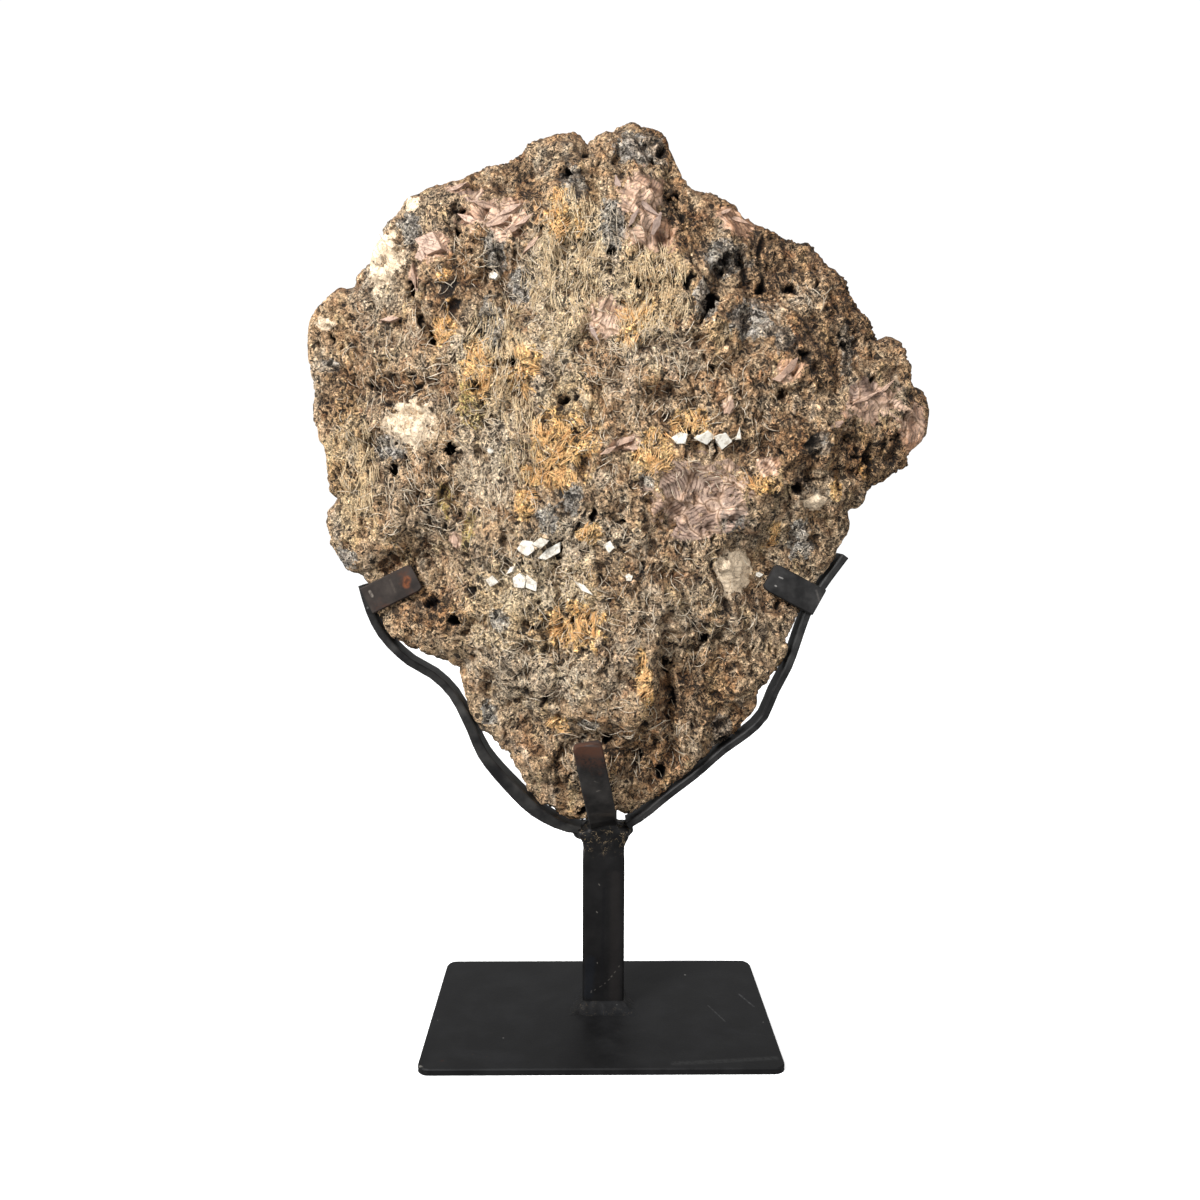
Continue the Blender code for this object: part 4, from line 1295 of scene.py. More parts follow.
    def hold_off(self, start: np.ndarray, lift: np.ndarray) -> np.ndarray:
        """Keep the skin from swelling into the iron.

        Args:
            start: The skin's points in metres.
            lift: How far each is to move outwards, in millimetres.

        Returns:
            The moves, cut short near the stand.
        """
        points = []
        faces = []
        for name, node in frame["nodes"].items():
            if name == "stone":
                continue
            offset = len(points)
            points.extend(tuple(point.co) for point in node.data.vertices)
            faces.extend(tuple(offset + i for i in face.vertices) for face in node.data.polygons)
        tree = BVHTree.FromPolygons(points, faces)
        reach = self.iron_reach * MM
        for index in np.flatnonzero(lift > 0.0):
            found = tree.find_nearest(Vector(start[index]), reach)
            if found[3] is not None:
                lift[index] = min(lift[index], max(0.0, found[3] / MM - self.clearance))
        return lift

    def close_back(self, item: bpy.types.Object, back: float) -> None:
        """Fill the open edge with a flat face, cut into a lattice for its bands to follow.

        Args:
            item: The stone, open at the back.
            back: Where the flat face lies, in metres.
        """
        points = read_points(item.data)
        points[self.edge_points(item.data), 1] = back
        write_points(item.data, np.clip(points, *(np.array(corner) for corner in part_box("stone"))))
        bpy.ops.object.mode_set(mode="EDIT")
        bpy.ops.mesh.select_mode(type="EDGE")
        bpy.ops.mesh.select_all(action="DESELECT")
        bpy.ops.mesh.select_non_manifold(extend=False, use_wire=False, use_boundary=True,
                                         use_multi_face=False, use_non_contiguous=False, use_verts=False)
        bpy.ops.mesh.duplicate()
        bpy.ops.mesh.separate(type="SELECTED")
        bpy.ops.object.mode_set(mode="OBJECT")
        lid = next(entry for entry in bpy.context.selected_objects if entry is not item)
        select_only(lid)
        bpy.ops.object.mode_set(mode="EDIT")
        bpy.ops.mesh.select_all(action="SELECT")
        bpy.ops.mesh.fill(use_beauty=True)
        bpy.ops.mesh.select_mode(type="FACE")
        bpy.ops.mesh.select_all(action="SELECT")
        bpy.ops.mesh.inset(thickness=self.back_margin * MM, use_even_offset=False)
        bpy.ops.mesh.hide(unselected=True)
        low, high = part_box("stone")
        step = self.back_lattice * MM
        for axis in (0, 2):
            for number in range(1, int((high[axis] - low[axis]) / step) + 1):
                place = [0.0, back, 0.0]
                place[axis] = low[axis] + number * step
                normal = [0.0, 0.0, 0.0]
                normal[axis] = 1.0
                bpy.ops.mesh.select_all(action="SELECT")
                bpy.ops.mesh.bisect(plane_co=place, plane_no=normal)
        bpy.ops.mesh.reveal(select=False)
        bpy.ops.object.mode_set(mode="OBJECT")
        item.select_set(True)
        bpy.context.view_layer.objects.active = item
        bpy.ops.object.join()
        bpy.ops.object.mode_set(mode="EDIT")
        bpy.ops.mesh.select_all(action="SELECT")
        bpy.ops.mesh.remove_doubles(threshold=0.000005)
        bpy.ops.mesh.normals_make_consistent(inside=False)
        bpy.ops.object.mode_set(mode="OBJECT")

    def mark(self, item: bpy.types.Object, back: float) -> None:
        """Keep each patch's soft oval on the skin, and the distance from the rim on the back.

        Args:
            item: The stone.
            back: Where the flat face lies, in metres.
        """
        places = read_points(item.data) / MM
        for mineral, spots in PATCHES.items():
            soft = np.full(len(places), -1.0)
            for spot in spots:
                soft = np.maximum(soft, spot.inside(places))
            keep_number(item.data, mineral.value, np.clip(soft, -1.0, 1.0))
        keep_number(item.data, "porous", 0.16 * self.porosity(places))
        normals = read_points(item.data, "normal")
        # Painted shade: how far each point faces right and upward, for the material to darken it as if turned
        # from the light.
        keep_number(item.data, "facing_shade", np.clip(0.9 * normals[:, 2] + 0.5 * normals[:, 0], 0.0, 1.0))
        flat = places[:, 1] > back / MM - 0.02
        rim = places[self.rim_points(item, back)][:, (0, 2)]
        gap = np.zeros(len(places))
        for index in np.flatnonzero(flat):
            gap[index] = np.sqrt(((rim - places[index, (0, 2)]) ** 2).sum(axis=1).min())
        keep_number(item.data, "rim_gap", gap)

    def rim_points(self, item: bpy.types.Object, back: float) -> np.ndarray:
        """Find the points where the skin meets the polished back.

        Args:
            item: The stone.
            back: Where the flat face lies, in metres.

        Returns:
            The points' numbers.
        """
        shape = bmesh.new()
        shape.from_mesh(item.data)
        limit = back - 0.02 * MM
        found = []
        for edge in shape.edges:
            sides = {face.calc_center_median().y > limit for face in edge.link_faces}
            if len(sides) == 2:
                found.extend(point.index for point in edge.verts)
        shape.free()
        return np.array(sorted(set(found)))

    def dress(self, item: bpy.types.Object, effects: SharedEffects, back: float) -> None:
        """Give the skin its rough finish and the back its polish.

        Args:
            item: The stone.
            effects: The shared node groups.
            back: Where the flat face lies, in metres.
        """
        item.data.materials.append(RoughAgateFinish().build(effects))
        item.data.materials.append(PolishedAgateFinish().build(effects))
        centres = np.array([face.center for face in item.data.polygons])
        flat = centres[:, 1] > back - 0.02 * MM
        item.data.polygons.foreach_set("material_index", flat.astype(np.int32))
        item.data.polygons.foreach_set("use_smooth", ~flat)
        item.data.update()


class Bed:
    """The rough face as a bed for loose pieces; its seats have right, up and outward for axes."""

    def __init__(self, stone: bpy.types.Object) -> None:
        """Keep the stone's surface for looking places up."""
        places = [point.co.copy() for point in stone.data.vertices]
        self.tree = BVHTree.FromPolygons(places, [tuple(face.vertices) for face in stone.data.polygons])

    def touch(self, x: float, z: float) -> Vector | None:
        """Find where a probe from the front meets the stone, with x and z in metres."""
        return self.tree.ray_cast(Vector((x, -0.3, z)), Vector((0.0, 1.0, 0.0)))[0]

    def seat(self, x: float, z: float, reach: float) -> Matrix | None:
        """Find a seat on the rough face.

        Args:
            x: Place in millimetres.
            z: Place in millimetres.
            reach: How far round the place the slope is felt, in millimetres.

        Returns:
            The seat's axes and place, or None off the stone.
        """
        x, z, reach = x * MM, z * MM, reach * MM
        probes = [self.touch(x + across, z + up) for across, up in
                  ((0.0, 0.0), (reach, 0.0), (-reach, 0.0), (0.0, reach), (0.0, -reach))]
        if None in probes:
            return None
        slope = (probes[1] - probes[2]).cross(probes[3] - probes[4]).normalized()
        outward = (slope + Vector((0.0, -0.8, 0.0))).normalized()
        right = Vector((0.0, 0.0, 1.0)).cross(outward).normalized()
        up = outward.cross(right)
        level = sorted(probe.y for probe in probes)[2]
        axes = Matrix((right, up, outward)).transposed().to_4x4()
        return Matrix.Translation((x, level, z)) @ axes


@dataclass
class Scatter:
    """Copies of small shapes, each laid in its seat, joined in one mesh."""

    name: str
    material: bpy.types.Material
    slot: Slot = Slot.AGATE

    def __post_init__(self) -> None:
        """Start with no copies."""
        self.items: list[bpy.types.Object] = []

    def lay(self, shape: bpy.types.Mesh, place: Matrix, tone: float, way: float = 0.0) -> None:
        """Lay one copy.

        Args:
            shape: The mesh to copy.
            place: Where the copy goes, with its turn and scale.
            tone: A number from 0 to 1 that its material reads.
            way: The angle that its lines run at, which its material reads.
        """
        mesh = shape.copy()
        mesh.transform(place)
        count = len(mesh.vertices)
        keep_number(mesh, "tone", np.full(count, tone))
        keep_number(mesh, "way", np.full(count, way))
        item = bpy.data.objects.new(self.name, mesh)
        bpy.context.scene.collection.objects.link(item)
        self.items.append(item)

    def join(self) -> bpy.types.Object:
        """Join the copies into the finished piece and return it."""
        bpy.ops.object.select_all(action="DESELECT")
        for item in self.items:
            item.select_set(True)
        bpy.context.view_layer.objects.active = self.items[0]
        bpy.ops.object.join()
        joined = bpy.context.object
        joined.name = self.name
        joined.data.materials.clear()
        joined.data.materials.append(self.material)
        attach(joined, BODY)
        LOG.info("built %s with %d faces", self.name, len(joined.data.polygons))
        return joined


def shard_shape(corners: int, seed: int, taper: float = 0.88) -> bpy.types.Mesh:
    """Model a flat shard one unit across and one thick, with uneven corners and broken edges.

    Args:
        corners: How many corners it has.
        seed: Which unevenness it has.
        taper: How wide its face is, beside its foot.

    Returns:
        The shard's mesh.
    """
    bpy.ops.object.select_all(action="DESELECT")
    bpy.ops.mesh.primitive_circle_add(vertices=corners, radius=0.5, fill_type="NGON")
    item = bpy.context.object
    for index, point in enumerate(item.data.vertices):
        pull = 1.0 + 0.45 * noise.noise(Vector((seed * 3.7, index * 1.9, 0.5)))
        swing = 0.35 * noise.noise(Vector((seed * 1.7, index * 2.3, 7.5)))
        point.co = Matrix.Rotation(swing, 3, "Z") @ (point.co * pull)
    bpy.ops.object.mode_set(mode="EDIT")
    bpy.ops.mesh.select_all(action="SELECT")
    bpy.ops.mesh.extrude_region_move(TRANSFORM_OT_translate={"value": (0.0, 0.0, 1.0)})
    bpy.ops.transform.resize(value=(taper, taper, 1.0), center_override=(0.0, 0.0, 1.0))
    bpy.ops.mesh.select_all(action="SELECT")
    bpy.ops.mesh.bevel(offset=0.015, segments=1, affect="EDGES")
    bpy.ops.mesh.select_all(action="SELECT")
    bpy.ops.mesh.normals_make_consistent(inside=False)
    bpy.ops.object.mode_set(mode="OBJECT")
    mesh = item.data
    bpy.data.objects.remove(item)
    return mesh


def needle_shape() -> bpy.types.Mesh:
    """Model a straight four-sided needle one unit long along X and one across, thinning to its ends."""
    bpy.ops.object.select_all(action="DESELECT")
    bpy.ops.mesh.primitive_cylinder_add(vertices=4, radius=0.5, depth=1.0, rotation=(0.0, math.pi / 2, 0.0))
    item = bpy.context.object
    bpy.ops.object.transform_apply(location=False, rotation=True, scale=False)
    bpy.ops.object.mode_set(mode="EDIT")
    for place in (-0.25, 0.0, 0.25):
        bpy.ops.mesh.select_all(action="SELECT")
        bpy.ops.mesh.bisect(plane_co=(place, 0.0, 0.0), plane_no=(1.0, 0.0, 0.0))
    bpy.ops.object.mode_set(mode="OBJECT")
    for point in item.data.vertices:
        along = 2.0 * point.co.x
        thin = 1.0 - 0.6 * along * along
        point.co = Vector((point.co.x, point.co.y * thin, point.co.z * thin))
    mesh = item.data
    bpy.data.objects.remove(item)
    return mesh


def bent(shape: bpy.types.Mesh, length: float, width: float, bow: float, rise: float) -> bpy.types.Mesh:
    """Copy a needle at a size and bow it, all in millimetres.

    Args:
        shape: The straight needle.
        length: The copy's length.
        width: The copy's width.
        bow: How far its middle swings sideways.
        rise: How far its middle lifts outwards.

    Returns:
        The bent copy.
    """
    mesh = shape.copy()
    for point in mesh.vertices:
        along = 2.0 * point.co.x
        arch = 1.0 - along * along
        side = point.co.y * width + bow * arch
        out = point.co.z * width + rise * arch
        point.co = Vector((point.co.x * length, side, out)) * MM
    return mesh


@dataclass(frozen=True)
class Chip:
    """A crystal chip set in the rough face, in millimetres; a positive turn is anticlockwise."""

    x: float
    z: float
    width: float
    height: float
    turn: float = 0.0
    corners: int = 5
    proud: float = 1.5


WHITE_CHIPS = (
    Chip(32.5, 261, 7.9, 6.2, 8, 5), Chip(43.5, 262, 10.1, 6.7, 4, 4),
    Chip(50.5, 260.8, 7.7, 8.2, -12, 4), Chip(57.5, 262.5, 3.1, 8.4, 0, 3),
    Chip(-32, 215, 8.9, 8.2, -40, 5), Chip(-26.5, 217.5, 9.1, 6.0, 10, 4),
    Chip(-22.5, 213, 12.5, 4.8, 36, 5), Chip(-35, 201.2, 7.7, 7.2, -10, 5),
    Chip(-29.5, 199.5, 6.0, 8.4, 30, 4), Chip(-47, 201, 5.5, 6.5, -10, 4),
    Chip(-8, 198, 9.6, 2.6, -38, 4), Chip(3, 216, 4.3, 6.2, -10, 4), Chip(-47, 256, 3.1, 2.4, 0, 5),
    Chip(-46, 329, 4.3, 3.8, -10, 5), Chip(11, 203, 4.1, 3.8, 0, 5), Chip(-38, 206, 6.7, 2.2, 40, 4),
    Chip(70, 203, 3.6, 2.9, -20, 5),
)
PINK_LATHS = (
    Chip(-72, 341, 14.5, 12.0, -18, 4, 1.6), Chip(-76, 338, 7.0, 9.0, 20, 4, 1.2),
    Chip(-44, 351, 19.0, 4.2, 28, 4, 1.7), Chip(-39, 355, 15.0, 3.6, 30, 4, 1.4),
    Chip(-38, 348, 14.0, 3.0, 30, 4, 1.2), Chip(-33, 351, 12.0, 2.8, 34, 4, 1.2),
    Chip(-56, 352, 13.0, 4.0, -25, 4, 1.1), Chip(-50, 358, 12.0, 3.4, -8, 4, 1.0),
    Chip(-79.5, 328, 2.6, 10.0, 4, 4, 1.1), Chip(-62, 366, 10.0, 3.0, 25, 4, 0.9),
    Chip(-91, 312, 8.0, 2.2, 3, 4, 1.0), Chip(-30, 341, 9.0, 2.6, 48, 4, 0.8),
    Chip(78, 291, 4.0, 11.0, -40, 5, 0.8), Chip(74, 287, 7.0, 3.4, 20, 4, 0.8),
    Chip(53, 275, 3.0, 8.0, -25, 5, 0.9), Chip(9, 260, 13.0, 3.6, 18, 5, 1.0),
    Chip(2, 256, 9.0, 2.8, 30, 4, 0.9), Chip(13, 257, 9.0, 2.4, 4, 4, 0.8),
    Chip(112, 279, 2.4, 18.0, -66, 4, 1.0), Chip(100, 268, 10.0, 3.4, 30, 4, 0.8),
    Chip(122, 284, 2.2, 12.0, -50, 4, 0.8), Chip(-63, 218, 3.4, 8.0, 10, 4, 0.9),
    Chip(58, 355, 12.0, 2.6, -20, 4, 0.8), Chip(52, 358, 9.0, 2.4, 25, 4, 0.8),
)
MAUVE_BANDS = (
    Chip(6, 366, 3.0, 12.0, 8, 4, 0.9), Chip(18, 357, 3.2, 16.0, 52, 4, 1.1),
    Chip(22, 350, 3.0, 14.0, -22, 4, 1.1), Chip(12, 351, 2.4, 11.0, -30, 4, 0.9),
    Chip(-4, 305, 2.4, 10.0, 30, 4, 0.8),
)
GOLD_PLACES = tuple(spot for spot in PATCHES[Mineral.OCHRE] if spot.width * spot.height > 60.0)
STRAW_PLACES = spots(
    (-12, 335, 24, 56, 5), (22, 322, 30, 34, 30), (-24, 330, 18, 30, 10), (10, 308, 14, 24, 40),
    (-45, 300, 22, 40, 8), (-34, 262, 16, 40, -5), (-105, 250, 16, 40, 5),
)
HAIR_PLACES = PATCHES[Mineral.PALE] + spots(
    (-20, 190, 90, 60), (40, 190, 60, 60), (-60, 260, 80, 90), (30, 270, 90, 70), (-20, 320, 100, 80),
    (-90, 270, 50, 120), (10, 130, 60, 50),
)


@dataclass
class Chips:
    """Chips of one mineral bedded in the stone."""

    name: str
    chips: tuple[Chip, ...]
    finish: ChipFinish
    sunk: float = 2.4

    def build(self, bed: Bed, effects: SharedEffects) -> bpy.types.Object:
        """Shape each chip, lay it in its seat and join them.

        Args:
            bed: The stone's rough face.
            effects: The shared node groups.

        Returns:
            The joined object.
        """
        scatter = Scatter(self.name, self.finish.build(effects))
        for number, chip in enumerate(self.chips):
            seat = bed.seat(chip.x, chip.z, 0.28 * min(chip.width, chip.height))
            if seat is None:
                LOG.info("%s has no seat for the chip at %s, %s", self.name, chip.x, chip.z)
                continue
            thick = chip.proud + self.sunk
            turn = math.radians(chip.turn)
            lean_x = 0.10 * noise.noise(Vector((number * 1.3, 4.1, 2.0)))
            lean_y = 0.10 * noise.noise(Vector((number * 2.1, 8.3, 6.0)))
            lean = Matrix.Rotation(lean_x, 4, "X") @ Matrix.Rotation(lean_y, 4, "Y")
            size = Matrix.Diagonal((chip.width * MM, chip.height * MM, thick * MM, 1.0))
            down = Matrix.Translation((0.0, 0.0, -self.sunk * MM))
            place = seat @ down @ lean @ Matrix.Rotation(turn, 4, "Z") @ size
            tone = 0.5 + 0.5 * noise.noise(Vector((number * 0.7, 1.3, 3.1)))
            lengthwise = turn + (math.pi / 2 if chip.width >= chip.height else 0.0)
            scatter.lay(shard_shape(chip.corners, number), place, tone, lengthwise)
        return scatter.join()


@dataclass
class Needles:
    """Bundles of fine needles that follow the stone's grain over some places on its face."""

    name: str
    spots: tuple[Spot, ...]
    finish: ChipFinish
    room: float
    in_bundle: int
    length: tuple[float, float]
    width: tuple[float, float]
    bow: float
    fan: float
    seed: int
    way: float | None = None

    def build(self, bed: Bed, effects: SharedEffects) -> bpy.types.Object:
        """Scatter the bundles and join them.

        Args:
            bed: The stone's rough face.
            effects: The shared node groups.

        Returns:
            The joined object.
        """
        draw = random.Random(self.seed)
        shape = needle_shape()
        scatter = Scatter(self.name, self.finish.build(effects))
        for spot in self.spots:
            for _ in range(round(spot.width * spot.height * 0.785 / self.room)):
                angle, share = draw.uniform(0.0, math.tau), math.sqrt(draw.random())
                x = spot.x + 0.5 * spot.width * share * math.cos(angle)
                z = spot.z + 0.5 * spot.height * share * math.sin(angle)
                self.lay_bundle(bed, scatter, shape, x, z, draw)
        return scatter.join()

    def lay_bundle(self, bed: Bed, scatter: Scatter, shape: bpy.types.Mesh, x: float, z: float,
                   draw: random.Random) -> None:
        """Lay one bundle of needles about a place.

        Args:
            bed: The stone's rough face.
            scatter: Where the needles are gathered.
            shape: The needle's mesh.
            x: The bundle's place in millimetres.
            z: The bundle's place in millimetres.
            draw: The source of seeded chance.
        """
        grain = noise.noise(Vector((x / 11.0, self.seed, z / 11.0)))
        way = math.pi * (0.5 + 0.9 * grain) + draw.uniform(-0.5, 0.5)
        if self.way is not None:
            way = self.way + 0.9 * grain + draw.uniform(-0.12, 0.12)
        tone = draw.random()
        for _ in range(self.in_bundle):
            seat = bed.seat(x + draw.uniform(-1.6, 1.6), z + draw.uniform(-1.6, 1.6), 1.0)
            if seat is None:
                continue
            turn = Matrix.Rotation(way + draw.uniform(-self.fan, self.fan), 4, "Z")
            tilt = Matrix.Rotation(draw.uniform(-0.20, 0.20), 4, "Y")
            needle = bent(shape, draw.uniform(*self.length), draw.uniform(*self.width),
                          draw.uniform(-self.bow, self.bow), draw.uniform(0.0, 0.4 * self.bow))
            mixed = 0.5 * tone + 0.5 * draw.random()
            scatter.lay(needle, seat @ Matrix.Translation((0.0, 0.0, 0.10 * MM)) @ turn @ tilt, mixed, way)


LOOSE_CHIPS = (
    Chips("white_chips", WHITE_CHIPS, ChipFinish(
        "white_chip", (0.58, 0.54, 0.46, 1.0), (0.82, 0.79, 0.71, 1.0), (0.36, 0.29, 0.21, 1.0), dirt=0.8)),
    Chips("pink_laths", PINK_LATHS, ChipFinish(
        "pink_lath", (0.30, 0.185, 0.130, 1.0), (0.60, 0.410, 0.300, 1.0), (0.13, 0.08, 0.06, 1.0),
        lines=1.0, dirt=0.7)),
    Chips("mauve_bands", MAUVE_BANDS, ChipFinish(
        "mauve_band", (0.20, 0.140, 0.115, 1.0), (0.34, 0.245, 0.200, 1.0), (0.50, 0.36, 0.28, 1.0),
        lines=0.8, dirt=0.5)),
)
LOOSE_NEEDLES = (
    Needles("gold_needles", GOLD_PLACES, ChipFinish(
        "gold_needle", (0.56, 0.260, 0.080, 1.0), (1.00, 0.68, 0.32, 1.0), (0.28, 0.12, 0.04, 1.0), dirt=0.3),
        room=16.0, in_bundle=6, length=(2.5, 7.0), width=(0.20, 0.42), bow=0.5, fan=0.25, seed=5),
    Needles("pale_hairs", HAIR_PLACES, ChipFinish(
        "pale_hair", (0.46, 0.34, 0.22, 1.0), (0.86, 0.76, 0.60, 1.0), (0.30, 0.20, 0.12, 1.0), dirt=0.3),
        room=24.0, in_bundle=1, length=(4.0, 10.0), width=(0.20, 0.32), bow=2.0, fan=0.6, seed=9),
    Needles("straw_fibres", STRAW_PLACES, ChipFinish(
        "straw_fibre", (0.50, 0.34, 0.18, 1.0), (0.92, 0.76, 0.50, 1.0), (0.30, 0.19, 0.10, 1.0), dirt=0.3),
        room=12.0, in_bundle=4, length=(4.0, 9.0), width=(0.16, 0.30), bow=0.6, fan=0.16, seed=3,
        way=math.pi / 2),
)


@dataclass
class IronStand:
    """The welded cradle, post and plate, with the marks of use on each piece."""

    plate_top: float = 2.7
    post_middle: tuple[float, float] = (1.4, 9.2)
    post_half: float = 9.525
    neck_foot: float = 64.5
    neck_top: float = 86.5
    neck_heights: tuple[float, ...] = (64.5, 69.2, 72.0, 75.0, 78.0, 81.0, 84.0, 86.5)
    neck_lefts: tuple[float, ...] = (9.35, 9.58, 9.50, 9.05, 8.95, 9.80, 11.4, 12.0)
    neck_rights: tuple[float, ...] = (9.35, 9.58, 9.55, 9.35, 9.45, 10.2, 11.6, 12.2)
    neck_depths: tuple[float, ...] = (9.35, 9.58, 9.50, 9.20, 9.20, 9.40, 9.80, 9.60)
    neck_lumps: tuple[tuple[Point, Point], ...] = (
        ((-7.4, 9.2, 83.6), (5.6, 7.4, 3.6)), ((10.0, 9.2, 84.8), (5.4, 7.4, 3.8)),
        ((1.2, 1.8, 88.0), (7.2, 3.1, 4.8)), ((1.4, 9.2, 85.6), (9.8, 9.0, 4.2)),
        ((-4.8, 3.0, 84.0), (4.8, 3.6, 4.0)), ((7.2, 3.0, 85.0), (4.4, 3.6, 4.2)),
    )
    foot_reach: float = 17.5
    foot_leg: float = 6.0
    foot_height: float = 4.2
    post_black: Colour = (0.0070, 0.0068, 0.0070, 1.0)
    post_worn: Colour = (0.0135, 0.0130, 0.0132, 1.0)
    post_shine: float = 0.16
    post_specks: tuple[tuple[float, ...], ...] = (
        (8.7, 23.4, 8.4, 22.9, 0.30, 0.6, 0.2), (7.0, 20.8, 6.4, 20.1, 0.28, 0.5, 0.4),
        (5.4, 18.6, 5.0, 18.2, 0.34, 0.6, 0.2), (4.4, 17.2, 3.6, 16.5, 0.26, 0.5, 0.5),
        (2.4, 15.2, 2.0, 15.0, 0.30, 0.5, 0.2), (0.8, 14.0, -0.4, 13.3, 0.24, 0.4, 0.6),
        (-2.2, 12.2, -2.7, 11.8, 0.28, 0.5, 0.2), (-0.8, 62, -0.4, 61.4, 0.35, 0.8, 0.2),
        (-1.8, 49, -1.4, 48.6, 0.4, 0.7, 0.2), (-1.4, 25, -1.3, 24.6, 0.35, 0.8, 0.2),
        (-4.0, 11.5, -4.2, 10.8, 0.5, 0.7, 0.3),
    )

    def dress(self, effects: SharedEffects) -> None:
        """Give every carried iron piece its finish.

        Args:
            effects: The shared node groups.
        """
        finishes = {
            "base_plate": self.plate_finish(),
            "post": self.post_finish(),
            "left_arm": IronFinish("left_arm_iron", worn=(0.050, 0.048, 0.045, 1.0), specks=0.25),
            "right_arm": IronFinish("right_arm_iron", worn=(0.046, 0.045, 0.044, 1.0), specks=0.25),
            "left_claw": self.left_claw_finish(),
            "right_claw": self.right_claw_finish(),
            "centre_claw": self.centre_claw_finish(),
            "left_rear_claw": IronFinish("left_rear_claw_iron", rust=0.12),
            "right_rear_claw": IronFinish("right_rear_claw_iron", rust=0.05),
            "centre_rear_claw": IronFinish("centre_rear_claw_iron", rust=0.10),
        }
        for node, finish in finishes.items():
            mesh = frame["nodes"][node].data
            mesh.materials.clear()
            mesh.materials.append(finish.build(effects))
            LOG.info("dressed %s", node)

    def plate_finish(self) -> IronFinish:
        """The base plate's iron, with its scuffs and its bright nicks."""
        top = self.plate_top
        grey = (0.080, 0.080, 0.080, 1.0)
        haze = (0.017, 0.017, 0.018, 1.0)
        strokes = (
            Stroke((66, 14, top), (71, 2, top), 0.6, grey, 0.6, 0.8),
            Stroke((50, 3, top), (56, -12, top), 0.4, grey, 0.5, 0.9),
            Stroke((57, -20, top), (68, -24, top), 4.0, haze, 0.6, 0.5),
            Stroke((30, -47, top), (73, -43, top), 2.2, (0.030, 0.030, 0.030, 1.0), 0.7, 0.8),
            Stroke((-60, -38, top), (-36, -42, top), 6.0, haze, 0.7, 0.6),
            Stroke((-75, -48, top), (-72, -50, 1.2), 0.8, (0.20, 0.19, 0.17, 1.0), 0.8, 0.5),
            Stroke((-52, 34, top), (-20, 30, top), 6.0, haze, 0.4, 0.5),
            Stroke((20, 30, top), (60, 36, top), 7.0, haze, 0.4, 0.5),
        )
        return IronFinish("base_plate_iron", black=(0.0078, 0.0077, 0.0080, 1.0),
                          worn=(0.0150, 0.0150, 0.0156, 1.0), specular=0.13, specks=0.5, strokes=strokes)

    def post_finish(self) -> IronFinish:
        """The post's iron: a darker stripe down its front and light specks beside it."""
        front = -0.4
        light = (0.13, 0.12, 0.105, 1.0)
        strokes = (
            Stroke((6.5, front, 6), (6.8, front, 66), 3.6, (0.018, 0.0155, 0.0145, 1.0), 0.5, 0.2),
            Stroke((0.6, front, 8), (1.6, front, 60), 1.2, (0.005, 0.005, 0.006, 1.0), 0.6, 0.5),
            *(Stroke((left, front, top), (right, front, foot), width, light, strength, breaks)
              for left, top, right, foot, width, strength, breaks in self.post_specks),
            Stroke((-5.5, front, 10), (-4.5, front, 26), 3.4, (0.008, 0.010, 0.014, 1.0), 0.6, 0.4),
        )
        return IronFinish("post_iron", black=self.post_black, worn=self.post_worn,
                          specular=self.post_shine, specks=0.3, strokes=strokes)

    def left_claw_finish(self) -> IronFinish:
        """The left claw's iron: brown and satin, with an orange rust spot."""
        face = -0.65
        strokes = (
            Stroke((-85.6, face, 200.4), (-86.0, face, 198.0), 2.3, (0.230, 0.070, 0.024, 1.0), 0.85, 0.6),
            Stroke((-85.4, face, 200.2), (-86.2, face, 199.0), 1.1, (0.040, 0.018, 0.012, 1.0), 0.8, 0.3),
            Stroke((-102, face, 195), (-101, face, 193), 0.9, (0.30, 0.26, 0.22, 1.0), 0.6, 0.7),
            Stroke((-93, face, 200), (-91, face, 195), 0.8, (0.10, 0.08, 0.065, 1.0), 0.3, 0.9),
        )
        return IronFinish("left_claw_iron", black=(0.026, 0.021, 0.019, 1.0),
                          worn=(0.062, 0.050, 0.043, 1.0), rust=0.14, specks=0.2, strokes=strokes)

    def right_claw_finish(self) -> IronFinish:
        """The right claw's iron, plain, with a few specks."""
        face = -0.65
        light = (0.38, 0.36, 0.34, 1.0)
        strokes = (
            Stroke((78.5, face, 201.8), (80.0, face, 201.2), 0.45, light, 0.7, 0.3),
            Stroke((76.8, face, 198.0), (77.2, face, 197.8), 0.5, light, 0.7, 0.2),
            Stroke((95.0, face, 196.0), (98.0, face, 187.0), 0.6, (0.12, 0.11, 0.10, 1.0), 0.5, 0.6),
        )
        return IronFinish("right_claw_iron", worn=(0.048, 0.046, 0.045, 1.0), specks=0.3, strokes=strokes)

